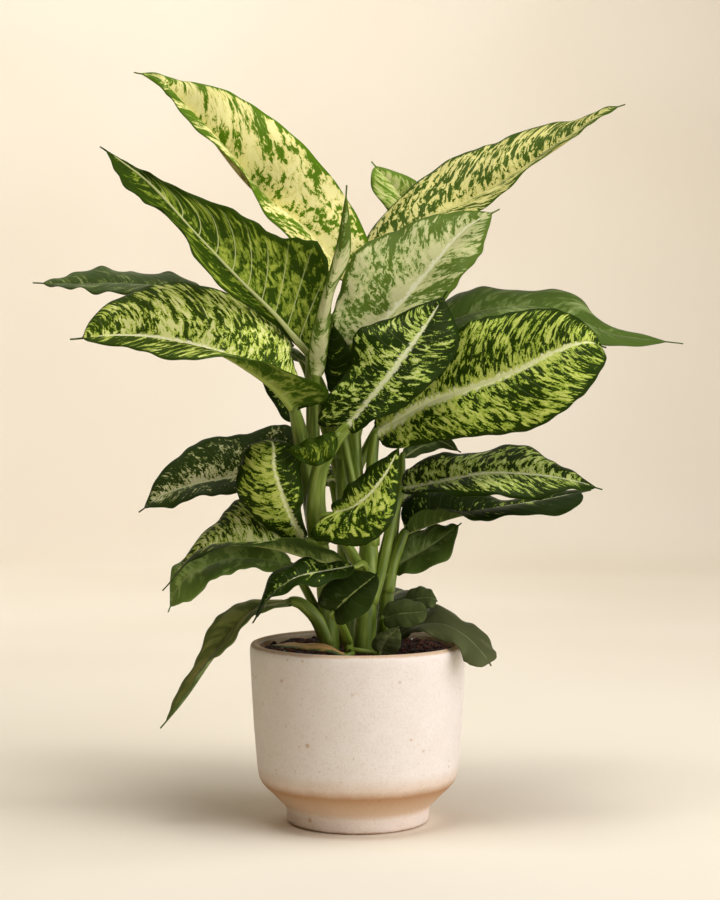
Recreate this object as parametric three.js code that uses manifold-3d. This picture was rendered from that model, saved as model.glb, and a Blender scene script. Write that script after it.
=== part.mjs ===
// A potted dieffenbachia: a stoneware pot, the soil in it, five leafy shoots and every leaf blade.
// Millimetres, Z up, the origin at the centre of the pot's base. The picture's viewer stands at -Y.
import * as THREE from "three";
import { mergeVertices } from "three/addons/utils/BufferGeometryUtils.js";
import Module from "manifold-3d";

const GAP = 0.8; // air between parts that touch on the real plant
const POT_SIDES = 36;
const STEM_SIDES = 6;
const HOLE_SIDES = 20;
const HOLE_CLEARANCE = 0.7; // how much wider than its cane a hole in the soil is, as a radius
const HOLE_DEPTH = 60;
const FOOT_MARGIN = 1.2; // how much wider than its stalk's end a blade starts, on each side

const STONEWARE = { color: "#e6d9c9", roughness: 0.8, metalness: 0 };
const POTTING_MIX = { color: "#35241b", roughness: 1, metalness: 0 };
const STALK_GREEN = { color: "#86a050", roughness: 0.5, metalness: 0 };
const BLADE_GREEN = { color: "#3f6b2b", roughness: 0.42, metalness: 0 };
const BLADE_LIME = { color: "#9dbb4a", roughness: 0.42, metalness: 0 };
const BLADE_CREAM = { color: "#d9d993", roughness: 0.42, metalness: 0 };

// The youngest leaves are almost all cream, and the next ones are half lime. The rest are mostly green.
const CREAM_LEAVES = ["top_left", "top_right", "top_back", "spike", "pale_centre"];
const LIME_LEAVES = ["mid_left", "big_right", "front_oval", "front_centre", "dark_centre", "lower_left_a"];

// Leaf blades. The rib runs from the stalk's end to the tip of the leaf. The margins hold the blade's
// edge beside each inner point of the rib: left and right as seen on the upper face with the tip ahead.
// point: how fast the end narrows, 0.4 blunt to 0.9 drawn out. wave: height of the edge's waves.
const LEAVES = {
  // The crown: long cream blades, one still rolled up.
  top_left: {
    rib: [
      [-7, 20, 500], [-51, 40, 551], [-103, 55, 593], [-144, 65, 645],
      [-176, 72, 683], [-192, 77, 698], [-215, 82, 704],
    ],
    left: [[-75, 2, 552], [-100, 8, 587], [-137, 22, 633], [-170, 45, 662], [-187, 62, 688]],
    right: [[-7, 55, 574], [-61, 65, 640], [-115, 77, 680], [-156, 78, 693], [-188, 82, 701]],
    point: 0.75,
  },
  top_right: {
    rib: [
      [8, 30, 515], [57, 52, 557], [107, 68, 580], [157, 82, 610],
      [205, 92, 642], [234, 96, 666], [259, 100, 676],
    ],
    left: [[40, 84, 584], [96, 98, 624], [138, 108, 642], [193, 112, 659], [233, 104, 670]],
    right: [[71, 30, 542], [120, 38, 574], [162, 48, 606], [207, 66, 644], [234, 82, 660]],
  },
  top_back: {
    rib: [[75, 78, 520], [62, 88, 552], [42, 96, 586], [13, 102, 621]],
    left: [[38, 82, 562], [14, 92, 595]],
    right: [[78, 98, 570], [58, 102, 600]],
    wave: 1.2,
    small: true,
  },
  spike: {
    rib: [[-38, -28, 412], [-34, -34, 450], [-26, -37, 489], [-14, -36, 530], [-10, -30, 585]],
    left: [[-42, -31, 448], [-31, -33, 488], [-19, -33, 529]],
    right: [[-27, -31, 448], [-22, -33, 488], [-7, -33, 527]],
    wave: 0,
    small: true,
  },
  pale_centre: {
    rib: [[-2, -22, 436], [22, -14, 460], [47, -4, 487], [75, 10, 521], [101, 24, 550], [133, 36, 569]],
    left: [[-20, -5, 478], [2, 12, 530], [46, 24, 552], [86, 34, 566]],
    right: [[37, -34, 461], [75, -30, 481], [101, -14, 509], [118, 6, 540]],
  },
  // The upper ring.
  upper_left: {
    rib: [
      [-46, -15, 433], [-74, -31, 466], [-106, -58, 498], [-144, -78, 538],
      [-180, -92, 578], [-204, -98, 597], [-224, -102, 611],
    ],
    left: [[-36, -10, 531], [-73, -38, 538], [-115, -62, 561], [-170, -88, 582], [-198, -96, 596]],
    right: [[-81, -36, 465], [-131, -92, 499], [-157, -112, 547], [-191, -112, 566], [-209, -108, 590]],
  },
  far_left: {
    rib: [
      [-50, 45, 428], [-108, 62, 468], [-165, 80, 494], [-225, 95, 502],
      [-275, 106, 502], [-318, 112, 504],
    ],
    left: [[-100, 32, 458], [-165, 45, 482], [-229, 62, 493], [-278, 85, 496]],
    right: [[-118, 92, 465], [-170, 112, 507], [-229, 128, 516], [-279, 124, 514]],
  },
  mid_left: {
    rib: [
      [-58, -50, 382], [-72, -57, 399], [-93, -65, 415], [-128, -76, 434],
      [-175, -84, 445], [-213, -90, 447], [-252, -94, 444],
    ],
    left: [[-31, -82, 402], [-72, -98, 420], [-132, -112, 428], [-174, -115, 428], [-210, -109, 439]],
    right: [[-58, -28, 424], [-68, -12, 450], [-107, -30, 483], [-169, -60, 494], [-212, -68, 481]],
    point: 0.5,
  },
  tucked_left: {
    rib: [[-56, -6, 378], [-73, -9, 398], [-93, -12, 418], [-108, -14, 431]],
    left: [[-75, -18, 384], [-92, -22, 415]],
    right: [[-68, 4, 410], [-94, 2, 426]],
    wave: 1.2,
    small: true,
  },
  dark_centre: {
    rib: [[-9, -68, 367], [12, -68, 392], [31, -64, 416], [48, -56, 439], [64, -46, 462], [81, -36, 489]],
    left: [[-31, -56, 384], [-8, -50, 420], [3, -42, 454], [44, -38, 470]],
    right: [[17, -84, 374], [50, -80, 392], [77, -70, 419], [90, -54, 449]],
  },
  centre_small: {
    rib: [[-19, -74, 359], [-31, -80, 351], [-46, -82, 345], [-64, -78, 347]],
    left: [[-31, -78, 359], [-47, -78, 354]],
    right: [[-27, -80, 337], [-43, -82, 334]],
    small: true,
  },
  big_right: {
    rib: [
      [18, -28, 360], [61, -38, 386], [102, -46, 401], [141, -50, 416],
      [178, -48, 434], [205, -42, 442], [226, -26, 438],
    ],
    left: [[48, -22, 412], [90, -36, 452], [122, -40, 466], [168, -38, 472], [201, -34, 464]],
    right: [[66, -52, 354], [114, -64, 359], [161, -68, 368], [198, -64, 393], [220, -52, 421]],
    point: 0.6,
  },
  back_right: {
    rib: [[38, 25, 435], [87, 45, 464], [139, 60, 478], [192, 70, 475], [244, 78, 453], [314, 85, 444]],
    left: [[93, 78, 490], [147, 100, 497], [206, 105, 492], [250, 100, 460]],
    right: [[85, 8, 445], [137, 22, 454], [193, 32, 460], [240, 50, 440]],
  },
  // The middle ring.
  right_mid: {
    rib: [
      [42, -12, 307], [79, -28, 316], [117, -42, 324], [160, -54, 323],
      [193, -62, 318], [218, -68, 311],
    ],
    left: [[69, 0, 337], [111, -8, 343], [159, -22, 346], [189, -44, 327]],
    right: [[78, -52, 307], [117, -74, 305], [160, -84, 305], [194, -80, 311]],
  },
  under_right: {
    rib: [[46, 8, 268], [72, 10, 277], [98, 10, 284], [135, 8, 291], [175, 4, 298], [216, 0, 307]],
    left: [[58, 34, 303], [98, 42, 308], [140, 34, 296], [182, 22, 304]],
    right: [[69, -22, 292], [97, -26, 283], [133, -24, 283], [188, -20, 288]],
    point: 0.45,
  },
  back_small_right: {
    rib: [[44, 40, 338], [58, 46, 346], [76, 52, 352], [98, 52, 340]],
    left: [[60, 54, 338], [80, 56, 344]],
    right: [[57, 40, 352], [82, 46, 357]],
    wave: 1,
    small: true,
  },
  left_mid: {
    rib: [
      [-50, 0, 331], [-82, 8, 327], [-116, 14, 318], [-152, 18, 311],
      [-182, 20, 301], [-205, 20, 285],
    ],
    left: [[-84, -20, 301], [-119, -18, 306], [-150, -14, 299], [-183, 4, 291]],
    right: [[-73, 30, 365], [-116, 38, 356], [-158, 38, 346], [-187, 32, 317]],
  },
  front_oval: {
    rib: [
      [-49, -48, 266], [-60, -62, 288], [-68, -72, 310], [-74, -76, 331],
      [-75, -66, 349], [-80, -44, 356],
    ],
    left: [[-84, -58, 280], [-105, -62, 301], [-106, -64, 330], [-97, -54, 348]],
    right: [[-51, -60, 287], [-50, -62, 303], [-51, -62, 327], [-58, -54, 350]],
    point: 0.6,
  },
  front_centre: {
    rib: [[-21, -76, 290], [-4, -84, 296], [12, -86, 309], [26, -84, 328], [38, -78, 352]],
    left: [[-16, -72, 303], [-4, -74, 318], [16, -76, 334]],
    right: [[-32, -90, 267], [8, -92, 265], [34, -84, 297]],
  },
  // The low ring.
  lower_left_a: {
    rib: [
      [-13, -36, 238], [-40, -52, 248], [-71, -58, 257], [-105, -58, 261],
      [-140, -55, 256], [-176, -52, 219],
    ],
    left: [[-38, -70, 262], [-68, -82, 267], [-104, -88, 261], [-141, -80, 253]],
    right: [[-43, -45, 253], [-78, -26, 281], [-112, -24, 297], [-138, -32, 270]],
  },
  lower_left_b: {
    rib: [
      [-62, -5, 237], [-91, -14, 244], [-120, -20, 244], [-148, -26, 234],
      [-164, -30, 219], [-173, -30, 197],
    ],
    left: [[-89, -34, 236], [-115, -46, 236], [-136, -50, 223], [-158, -42, 207]],
    right: [[-88, 8, 256], [-121, 12, 256], [-155, 0, 248], [-171, -14, 228]],
  },
  front_left_low: {
    rib: [[-4, -68, 242], [-31, -82, 239], [-55, -92, 234], [-76, -101, 219], [-92, -106, 196]],
    left: [[-28, -102, 231], [-53, -114, 228], [-75, -116, 218]],
    right: [[-31, -62, 246], [-56, -68, 247], [-80, -82, 228]],
    small: true,
  },
  front_dark: {
    rib: [[-21, -74, 202], [-12, -78, 212], [-2, -77, 221], [9, -72, 229], [18, -66, 236]],
    left: [[-34, -66, 215], [-23, -62, 229], [-4, -58, 237]],
    right: [[-9, -88, 195], [10, -86, 207], [17, -78, 223]],
    point: 0.6,
    wave: 1.2,
    small: true,
  },
  right_low: {
    rib: [[38, 8, 237], [55, 10, 246], [73, 14, 257], [97, 20, 275]],
    left: [[51, 28, 265], [76, 30, 272]],
    right: [[52, -4, 231], [84, 0, 245]],
    small: true,
  },
  small_round_front: {
    rib: [[24, -25, 191], [37, -36, 196], [51, -44, 198], [64, -50, 200]],
    left: [[33, -24, 206], [51, -30, 207]],
    right: [[37, -44, 184], [53, -52, 188]],
    point: 0.5,
    wave: 1,
    small: true,
  },
  small_round_back: {
    rib: [[44, -10, 205], [55, -16, 208], [66, -20, 209], [73, -22, 206]],
    left: [[54, -8, 217], [65, -10, 216]],
    right: [[56, -24, 200], [66, -28, 201]],
    point: 0.5,
    wave: 1,
    small: true,
  },
  right_drooping: {
    rib: [
      [33, -6, 166], [51, -20, 182], [75, -34, 187], [96, -46, 178],
      [111, -56, 164], [120, -60, 152],
    ],
    left: [[52, -2, 190], [76, -12, 199], [104, -26, 185], [124, -42, 165]],
    right: [[49, -34, 178], [72, -50, 177], [90, -60, 168], [100, -68, 155]],
    point: 0.4,
  },
  left_drooping: {
    rib: [
      [-61, -26, 206], [-93, -32, 200], [-115, -38, 180], [-134, -42, 154],
      [-156, -44, 121], [-179, -44, 93],
    ],
    left: [[-92, -50, 197], [-114, -58, 172], [-138, -58, 150], [-159, -52, 121]],
    right: [[-103, -14, 204], [-130, -22, 190], [-146, -28, 156], [-165, -36, 121]],
    wave: 1.2,
  },
  soil_leaf: {
    rib: [[-12, -58, 162], [-28, -66, 171], [-48, -64, 170], [-66, -52, 169], [-78, -38, 168]],
    left: [[-26, -76, 167], [-50, -73, 169], [-70, -56, 169]],
    right: [[-30, -56, 170], [-46, -54, 171], [-62, -43, 170]],
    wave: 0.5,
    small: true,
  },
  soil_leaf_right: {
    rib: [[20, -45, 162], [27, -52, 176], [37, -56, 187]],
    left: [[18, -50, 178]],
    right: [[38, -54, 171]],
    wave: 0.5,
    small: true,
  },
  // The far side of the plant.
  back_high: {
    rib: [[-5, 35, 430], [-12, 80, 460], [-18, 125, 472], [-22, 170, 466], [-26, 225, 440]],
    left: [[-46, 76, 466], [-58, 122, 470], [-52, 168, 462]],
    right: [[20, 84, 466], [22, 128, 470], [8, 172, 462]],
  },
  back_left_mid: {
    rib: [[-70, 88, 440], [-98, 118, 452], [-130, 150, 460], [-160, 185, 454], [-190, 225, 434]],
    left: [[-118, 100, 444], [-158, 128, 450], [-182, 168, 448]],
    right: [[-76, 138, 452], [-102, 176, 458], [-140, 204, 450]],
  },
  back_right_mid: {
    rib: [[50, 60, 400], [85, 95, 424], [120, 130, 434], [150, 165, 428], [175, 205, 408]],
    left: [[62, 116, 430], [92, 158, 436], [128, 186, 426]],
    right: [[108, 72, 418], [148, 102, 424], [172, 142, 420]],
  },
  back_low_left: {
    rib: [[-25, 35, 310], [-60, 72, 332], [-95, 108, 342], [-125, 145, 336], [-150, 180, 316]],
    left: [[-82, 52, 326], [-122, 82, 334], [-148, 124, 328]],
    right: [[-38, 94, 336], [-68, 136, 344], [-102, 166, 334]],
  },
  back_low_right: {
    rib: [[35, 35, 290], [65, 75, 312], [95, 110, 320], [125, 145, 314], [150, 180, 296]],
    left: [[44, 96, 316], [70, 138, 322], [104, 166, 312]],
    right: [[86, 56, 306], [120, 84, 312], [146, 124, 308]],
  },
  back_low: {
    rib: [[-5, 40, 200], [-7, 85, 226], [-9, 130, 230], [-10, 170, 214], [-11, 210, 180]],
    left: [[-26, 84, 228], [-31, 128, 230], [-26, 168, 212]],
    right: [[12, 86, 228], [13, 130, 230], [8, 170, 212]],
  },
  back_low_side: {
    rib: [[18, 40, 180], [32, 80, 198], [46, 118, 201], [58, 152, 188], [68, 185, 163]],
    left: [[14, 86, 200], [24, 126, 202], [40, 158, 188]],
    right: [[50, 73, 196], [68, 110, 198], [76, 146, 185]],
    small: true,
  },
  // A dark leaf half hidden behind the rolled one.
  tucked_centre: {
    rib: [[-19, -27, 396], [-19, -28, 414], [-21, -29, 434], [-22, -28, 461]],
    left: [[-29, -20, 414], [-30, -19, 436]],
    right: [[-6, -34, 416], [-8, -32, 436]],
    wave: 0.8,
    small: true,
  },
};

// Shoots. The cane stands upright in the soil up to its second point. Each stalk lists the points it
// passes from the cane on, its thickness there as a radius, and ends at the leaf it is named for.
const SHOOTS = {
  shoot_left: {
    cane: [[-26, -14, 125], [-26, -14, 165], [-28, -16, 200], [-32, -20, 240], [-36, -24, 275]],
    radius: [9, 9, 8.5, 8, 7],
    stalks: {
      dark_centre: {
        path: [[-34, -28, 262], [-38, -46, 295], [-34, -58, 328], [-22, -66, 351]],
        from: 9,
        to: 4.4,
      },
      mid_left: { path: [[-36, -24, 262], [-44, -28, 305], [-52, -38, 350]], from: 8, to: 4.6 },
      upper_left: {
        path: [[-34, -18, 270], [-42, -2, 330], [-43, 4, 380], [-44, -6, 415]],
        from: 6,
        to: 3.4,
      },
      spike: { path: [[-36, -22, 270], [-39, -14, 330], [-40, -20, 385]], from: 5.5, to: 3.6 },
      left_mid: { path: [[-35, -20, 260], [-37, -8, 300], [-41, -3, 324]], from: 5.5, to: 2.8 },
      tucked_left: { path: [[-38, -18, 310], [-47, -6, 350]], from: 4.5, to: 2.6 },
      front_oval: { path: [[-33, -24, 255], [-41, -36, 261]], from: 5, to: 3 },
      lower_left_a: { path: [[-26, -20, 200], [-14, -28, 218], [-8, -32, 231]], from: 5, to: 3 },
      lower_left_b: { path: [[-28, -13, 172], [-40, -8, 200], [-53, -4, 224]], from: 5, to: 2.6 },
      left_drooping: { path: [[-27, -15, 166], [-37, -20, 189], [-50, -24, 203]], from: 7.5, to: 4.2 },
      centre_small: { path: [[-20, -66, 352], [-15, -70, 358]], from: 3, to: 1.9 },
    },
  },
  shoot_centre: {
    cane: [[6, -22, 125], [6, -22, 165], [8, -22, 200], [10, -20, 240], [9, -20, 275]],
    radius: [10, 10, 9.5, 9, 8],
    stalks: {
      pale_centre: { path: [[6, -20, 258], [0, -20, 300], [-3, -22, 370]], from: 7, to: 3.4 },
      big_right: { path: [[11, -21, 258], [14, -26, 300], [13, -27, 332]], from: 7, to: 3.8 },
      right_mid: {
        path: [[12, -22, 205], [22, -20, 240], [28, -17, 265], [33, -14, 288]],
        from: 6.5,
        to: 3.2,
      },
      front_centre: { path: [[3, -27, 235], [-14, -48, 266], [-32, -71, 286]], from: 5, to: 1.7 },
      front_left_low: { path: [[6, -27, 205], [8, -42, 234], [4, -56, 244]], from: 4, to: 2.2 },
      tucked_centre: { path: [[5, -21, 268], [-6, -27, 320], [-15, -28, 368]], from: 5, to: 2.6 },
    },
  },
  shoot_right: {
    cane: [[24, 4, 125], [24, 4, 165], [26, 3, 200], [29, 2, 230]],
    radius: [7.5, 7.5, 7, 6],
    stalks: {
      under_right: { path: [[27, 2, 212], [32, 4, 238], [39, 6, 257]], from: 7, to: 3.4 },
      right_low: { path: [[27, 4, 202], [32, 6, 222]], from: 4, to: 2.2 },
      back_small_right: { path: [[29, 4, 225], [35, 18, 280], [41, 32, 318]], from: 4.5, to: 2.4 },
      right_drooping: { path: [[26, 1, 170], [29, -3, 167]], from: 4.5, to: 2.8 },
      small_round_front: { path: [[25, -1, 174], [22, -14, 184]], from: 3.6, to: 1.9 },
      small_round_back: { path: [[28, 2, 188], [36, -5, 198]], from: 3.4, to: 1.9 },
      back_low_right: { path: [[29, 5, 225], [31, 20, 258]], from: 5, to: 3 },
      back_low_side: { path: [[23, 8, 168], [19, 24, 173]], from: 4, to: 2.4 },
    },
  },
  shoot_back: {
    cane: [[-10, 22, 125], [-10, 22, 165], [-11, 22, 230], [-13, 20, 300], [-13, 18, 350]],
    radius: [8.5, 8.5, 8, 7.5, 6.5],
    stalks: {
      top_left: { path: [[-14, 17, 335], [-16, 14, 420], [-14, 16, 465]], from: 6, to: 3.6 },
      top_right: { path: [[-10, 19, 335], [-4, 20, 420], [1, 24, 475]], from: 6, to: 3.6 },
      top_back: { path: [[-8, 22, 335], [16, 42, 420], [50, 64, 485]], from: 5, to: 2.4 },
      far_left: { path: [[-15, 22, 325], [-28, 30, 385], [-40, 38, 415]], from: 5, to: 3.2 },
      back_right: { path: [[-9, 21, 325], [6, 20, 385], [22, 21, 418]], from: 5, to: 3.2 },
      back_high: { path: [[-12, 21, 335], [-8, 25, 395]], from: 5, to: 3.2 },
      back_left_mid: { path: [[-15, 23, 315], [-34, 32, 375], [-52, 55, 426]], from: 5, to: 3 },
      back_right_mid: { path: [[-8, 24, 310], [18, 34, 362]], from: 5, to: 3 },
      back_low_left: { path: [[-13, 23, 245], [-18, 28, 282]], from: 5, to: 3 },
      back_low: { path: [[-10, 25, 168], [-6, 33, 183]], from: 4, to: 2.6 },
    },
  },
  // A young shoot that comes up by itself in front.
  shoot_front: {
    cane: [[-8, -46, 130], [-8, -46, 163], [-9, -49, 176]],
    radius: [4.4, 4.4, 4],
    stalks: {
      front_dark: { path: [[-9, -48, 172], [-15, -62, 190]], from: 4, to: 2.2 },
      soil_leaf: { path: [[-8, -47, 164], [-5, -53, 162.5]], from: 2.8, to: 1.9 },
      soil_leaf_right: { path: [[-6, -45, 165], [8, -43, 163], [15, -42, 161.4]], from: 2.6, to: 1.8 },
    },
  },
};

// The pot's section as radius and height, from the middle of the base round the rim to the floor inside.
const POT_PROFILE = [
  [0, 0], [62, 0], [65, 1.5], [66, 5], [66.2, 11.5], [68, 15.2], [72, 19.6], [80, 28], [87.6, 35.8],
  [91.3, 41], [93, 47.5], [96.6, 95], [100, 159], [99.2, 164], [97, 166], [93.6, 165.6], [91.4, 163.4],
  [90.6, 158], [88, 100], [85, 54], [80, 42], [60, 22], [50, 12], [0, 10],
];

// The soil's section: it fills the pot to 10 mm under the rim and rises a little in the middle.
const SOIL_PROFILE = [
  [0, 10.6], [49.5, 12.6], [59.4, 22.6], [79.4, 42.6], [84.4, 54],
  [87.4, 100], [89.8, 156.5], [60, 158.2], [0, 159],
];

const vec = (p) => new THREE.Vector3(p[0], p[1], p[2]);

function curveThrough(points) {
  return new THREE.CatmullRomCurve3(points.map(vec), false, "catmullrom", 0.5);
}

// Welds the vertices and drops the triangles that collapsed at a pole.
function closed(positions, index) {
  const g = new THREE.BufferGeometry();
  g.setAttribute("position", new THREE.Float32BufferAttribute(positions, 3));
  g.setIndex(index);
  const merged = mergeVertices(g, 1e-4);
  const kept = [];
  const old = merged.index.array;
  for (let i = 0; i < old.length; i += 3) {
    const [a, b, c] = [old[i], old[i + 1], old[i + 2]];
    if (a !== b && b !== c && a !== c) kept.push(a, b, c);
  }
  merged.setIndex(kept);
  return merged;
}

// A body of revolution about Z from a profile that starts and ends on the axis.
function turned(profile, sides) {
  const points = profile.map(([r, z]) => new THREE.Vector2(r, z));
  const lathe = new THREE.LatheGeometry(points, sides);
  lathe.rotateX(Math.PI / 2);
  return closed(Array.from(lathe.attributes.position.array), Array.from(lathe.index.array));
}

// A tapering round stalk along a curve, closed by flat ends. lastAim turns its end to the leaf.
function stalk(curve, radiusAt, steps, lastAim) {
  const positions = [];
  const index = [];
  let across = new THREE.Vector3(1, 0, 0);
  for (let i = 0; i <= steps; i++) {
    const t = i / steps;
    const centre = curve.getPoint(t);
    const aim = i === steps && lastAim ? lastAim : curve.getTangent(t);
    across.addScaledVector(aim, -across.dot(aim)).normalize();
    const up = new THREE.Vector3().crossVectors(aim, across);
    for (let k = 0; k < STEM_SIDES; k++) {
      const angle = (2 * Math.PI * k) / STEM_SIDES;
      const p = centre.clone();
      p.addScaledVector(across, Math.cos(angle) * radiusAt(t));
      p.addScaledVector(up, Math.sin(angle) * radiusAt(t));
      positions.push(p.x, p.y, p.z);
    }
  }
  for (let i = 0; i < steps; i++) {
    for (let k = 0; k < STEM_SIDES; k++) {
      const a = i * STEM_SIDES + k;
      const b = i * STEM_SIDES + ((k + 1) % STEM_SIDES);
      index.push(a, b, b + STEM_SIDES, a, b + STEM_SIDES, a + STEM_SIDES);
    }
  }
  const last = steps * STEM_SIDES;
  for (let k = 1; k < STEM_SIDES - 1; k++) {
    index.push(0, k + 1, k);
    index.push(last, last + k, last + k + 1);
  }
  return closed(positions, index);
}

// How wide the blade is along the rib, as a share of its margin's distance: round base, narrow tip.
function outline(u, point) {
  const full = 0.45;
  const s = Math.min(u / 0.95, 1);
  const top = full / (full + point);
  const most = top ** full * (1 - top) ** point;
  return (s ** full * (1 - s) ** point) / most;
}

// The vectors from rib to margin, spread over the whole blade: a curve that the outline then narrows.
function sideCurve(rib, margin, point) {
  const n = rib.length - 1;
  const inner = margin.map((m, i) => {
    const share = outline((i + 1) / n, point);
    return vec(m).sub(vec(rib[i + 1])).divideScalar(share);
  });
  const first = inner[0].clone();
  if (inner.length > 1) first.lerp(inner[1], -0.4);
  const all = [first, ...inner, inner[inner.length - 1].clone()];
  return new THREE.CatmullRomCurve3(all, false, "catmullrom", 0.5);
}

// One blade as a closed solid: the same grid of points above and below, thickest at the rib. Its foot
// is a little wider than the stalk that it meets.
function blade(leaf, seed, foot) {
  const point = leaf.point ?? 0.85;
  const wave = leaf.wave ?? 2.4;
  const rows = leaf.small ? 6 : 9;
  const across = [-1, -0.5, 0, 0.5, 1];
  const rib = curveThrough(leaf.rib);
  const sides = [sideCurve(leaf.rib, leaf.left, point), sideCurve(leaf.rib, leaf.right, point)];
  const middle = [];
  for (let i = 0; i <= rows; i++) {
    const u = i / rows;
    const centre = rib.getPoint(u);
    const aim = rib.getTangent(u);
    const calm = Math.min(5 * u, 1) * Math.min(4 * (1 - u), 1);
    for (const v of across) {
      const side = v < 0 ? 0 : 1;
      const reach = sides[side].getPoint(u);
      const unit = reach.clone().normalize();
      const up = new THREE.Vector3().crossVectors(unit, aim).normalize();
      if (side === 0) up.negate();
      const share = outline(u, point);
      const p = centre.clone();
      const flat = unit.clone().addScaledVector(aim, -unit.dot(aim)).normalize();
      p.addScaledVector(reach, share * Math.abs(v));
      p.addScaledVector(flat, (0.7 + (foot - 0.7) * (1 - u) ** 10) * Math.abs(v));
      const bulge = 0.1 * 4 * Math.abs(v) * (1 - Math.abs(v)) * share * reach.length();
      const ripple = Math.sin(2 * Math.PI * 3.3 * u + 1.9 * side + 1.7 * seed);
      p.addScaledVector(up, bulge + wave * v * v * calm * ripple);
      middle.push(p);
    }
  }
  const cols = across.length;
  const at = (i, j) => middle[i * cols + j];
  const top = [];
  const bottom = [];
  for (let i = 0; i <= rows; i++) {
    for (let j = 0; j < cols; j++) {
      const along = at(Math.min(i + 1, rows), j).clone().sub(at(Math.max(i - 1, 0), j));
      const wide = at(i, Math.min(j + 1, cols - 1)).clone().sub(at(i, Math.max(j - 1, 0)));
      const up = new THREE.Vector3().crossVectors(wide, along).normalize();
      const isRib = j === (cols - 1) / 2;
      const below = isRib ? 1.9 - 1.3 * (i / rows) : 0.55;
      top.push(at(i, j).clone().addScaledVector(up, 0.45));
      bottom.push(at(i, j).clone().addScaledVector(up, -below));
    }
  }
  const positions = [...top, ...bottom].flatMap((p) => [p.x, p.y, p.z]);
  const index = [];
  const under = top.length;
  for (let i = 0; i < rows; i++) {
    for (let j = 0; j < cols - 1; j++) {
      const a = i * cols + j;
      const [b, c, d] = [a + 1, a + cols + 1, a + cols];
      index.push(a, b, c, a, c, d);
      index.push(under + a, under + c, under + b, under + a, under + d, under + c);
    }
  }
  const wall = (a, b) => index.push(a, under + a, under + b, a, under + b, b);
  for (let j = 0; j < cols - 1; j++) {
    wall(j, j + 1);
    wall(rows * cols + j + 1, rows * cols + j);
  }
  for (let i = 0; i < rows; i++) {
    wall((i + 1) * cols, i * cols);
    wall(i * cols + cols - 1, (i + 1) * cols + cols - 1);
  }
  return closed(positions, index);
}

const wasm = await Module();
wasm.setup();

function asSolid(geometry) {
  const mesh = new wasm.Mesh({
    numProp: 3,
    vertProperties: Float32Array.from(geometry.attributes.position.array),
    triVerts: Uint32Array.from(geometry.index.array),
  });
  return new wasm.Manifold(mesh);
}

function asGeometry(solid) {
  const mesh = solid.getMesh();
  return closed(Array.from(mesh.vertProperties), Array.from(mesh.triVerts));
}

// A cane with the stalks that grow from it, joined into one body.
function shoot(plan) {
  const caneCurve = curveThrough(plan.cane);
  const radii = plan.radius;
  const caneRadius = (t) => {
    const x = t * (radii.length - 1);
    const i = Math.min(Math.floor(x), radii.length - 2);
    return radii[i] + (radii[i + 1] - radii[i]) * (x - i);
  };
  let body = asSolid(stalk(caneCurve, caneRadius, radii.length));
  for (const [name, arm] of Object.entries(plan.stalks)) {
    const rib = curveThrough(LEAVES[name].rib);
    const aim = rib.getTangent(0);
    const end = rib.getPoint(0).addScaledVector(aim, -GAP);
    const curve = curveThrough([...arm.path, [end.x, end.y, end.z]]);
    const radiusAt = (t) => arm.from + (arm.to - arm.from) * t;
    body = body.add(asSolid(stalk(curve, radiusAt, 2 * arm.path.length + 1, aim)));
  }
  return asGeometry(body);
}

// The soil with a plain round hole for each cane.
function soilWithHoles() {
  let body = asSolid(turned(SOIL_PROFILE, POT_SIDES));
  for (const plan of Object.values(SHOOTS)) {
    const [x, y, z] = plan.cane[0];
    const radius = plan.radius[0] + HOLE_CLEARANCE;
    const hole = new THREE.CylinderGeometry(radius, radius, HOLE_DEPTH, HOLE_SIDES);
    hole.rotateX(Math.PI / 2);
    hole.translate(x, y, z - GAP + HOLE_DEPTH / 2);
    const plain = closed(Array.from(hole.attributes.position.array), Array.from(hole.index.array));
    body = body.subtract(asSolid(plain));
  }
  return asGeometry(body);
}

const plant = new THREE.Group();

function add(name, geometry, finish) {
  const mesh = new THREE.Mesh(geometry, new THREE.MeshStandardMaterial(finish));
  mesh.name = name;
  plant.add(mesh);
}

function bladeFinish(name) {
  if (CREAM_LEAVES.includes(name)) return BLADE_CREAM;
  return LIME_LEAVES.includes(name) ? BLADE_LIME : BLADE_GREEN;
}

add("pot", turned(POT_PROFILE, POT_SIDES), STONEWARE);
add("soil", soilWithHoles(), POTTING_MIX);
for (const [name, plan] of Object.entries(SHOOTS)) add(name, shoot(plan), STALK_GREEN);

const stalkEnds = {};
for (const plan of Object.values(SHOOTS)) {
  for (const [name, arm] of Object.entries(plan.stalks)) stalkEnds[name] = arm.to;
}
Object.entries(LEAVES).forEach(([name, leaf], i) => {
  add("leaf_" + name, blade(leaf, i, stalkEnds[name] + FOOT_MARGIN), bladeFinish(name));
});

export default plant;
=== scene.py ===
"""A potted dieffenbachia: the dressed pot, soil, shoots and leaves, with their finishes, lights and camera.

Points in the tables are in millimetres in the part's own frame: X to the right, Y away from the viewer
and Z up, with the origin at the centre of the pot's base. Meshes are made in metres.
"""
import math
import random
from types import SimpleNamespace

import bpy
import numpy as np
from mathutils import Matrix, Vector, noise


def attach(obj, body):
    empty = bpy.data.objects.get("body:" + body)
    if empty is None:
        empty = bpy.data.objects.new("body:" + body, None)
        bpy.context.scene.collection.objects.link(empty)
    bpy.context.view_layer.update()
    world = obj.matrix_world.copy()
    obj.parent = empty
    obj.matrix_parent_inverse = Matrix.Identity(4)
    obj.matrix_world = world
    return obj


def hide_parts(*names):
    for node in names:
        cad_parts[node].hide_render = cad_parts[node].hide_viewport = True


MM = 0.001

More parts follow.
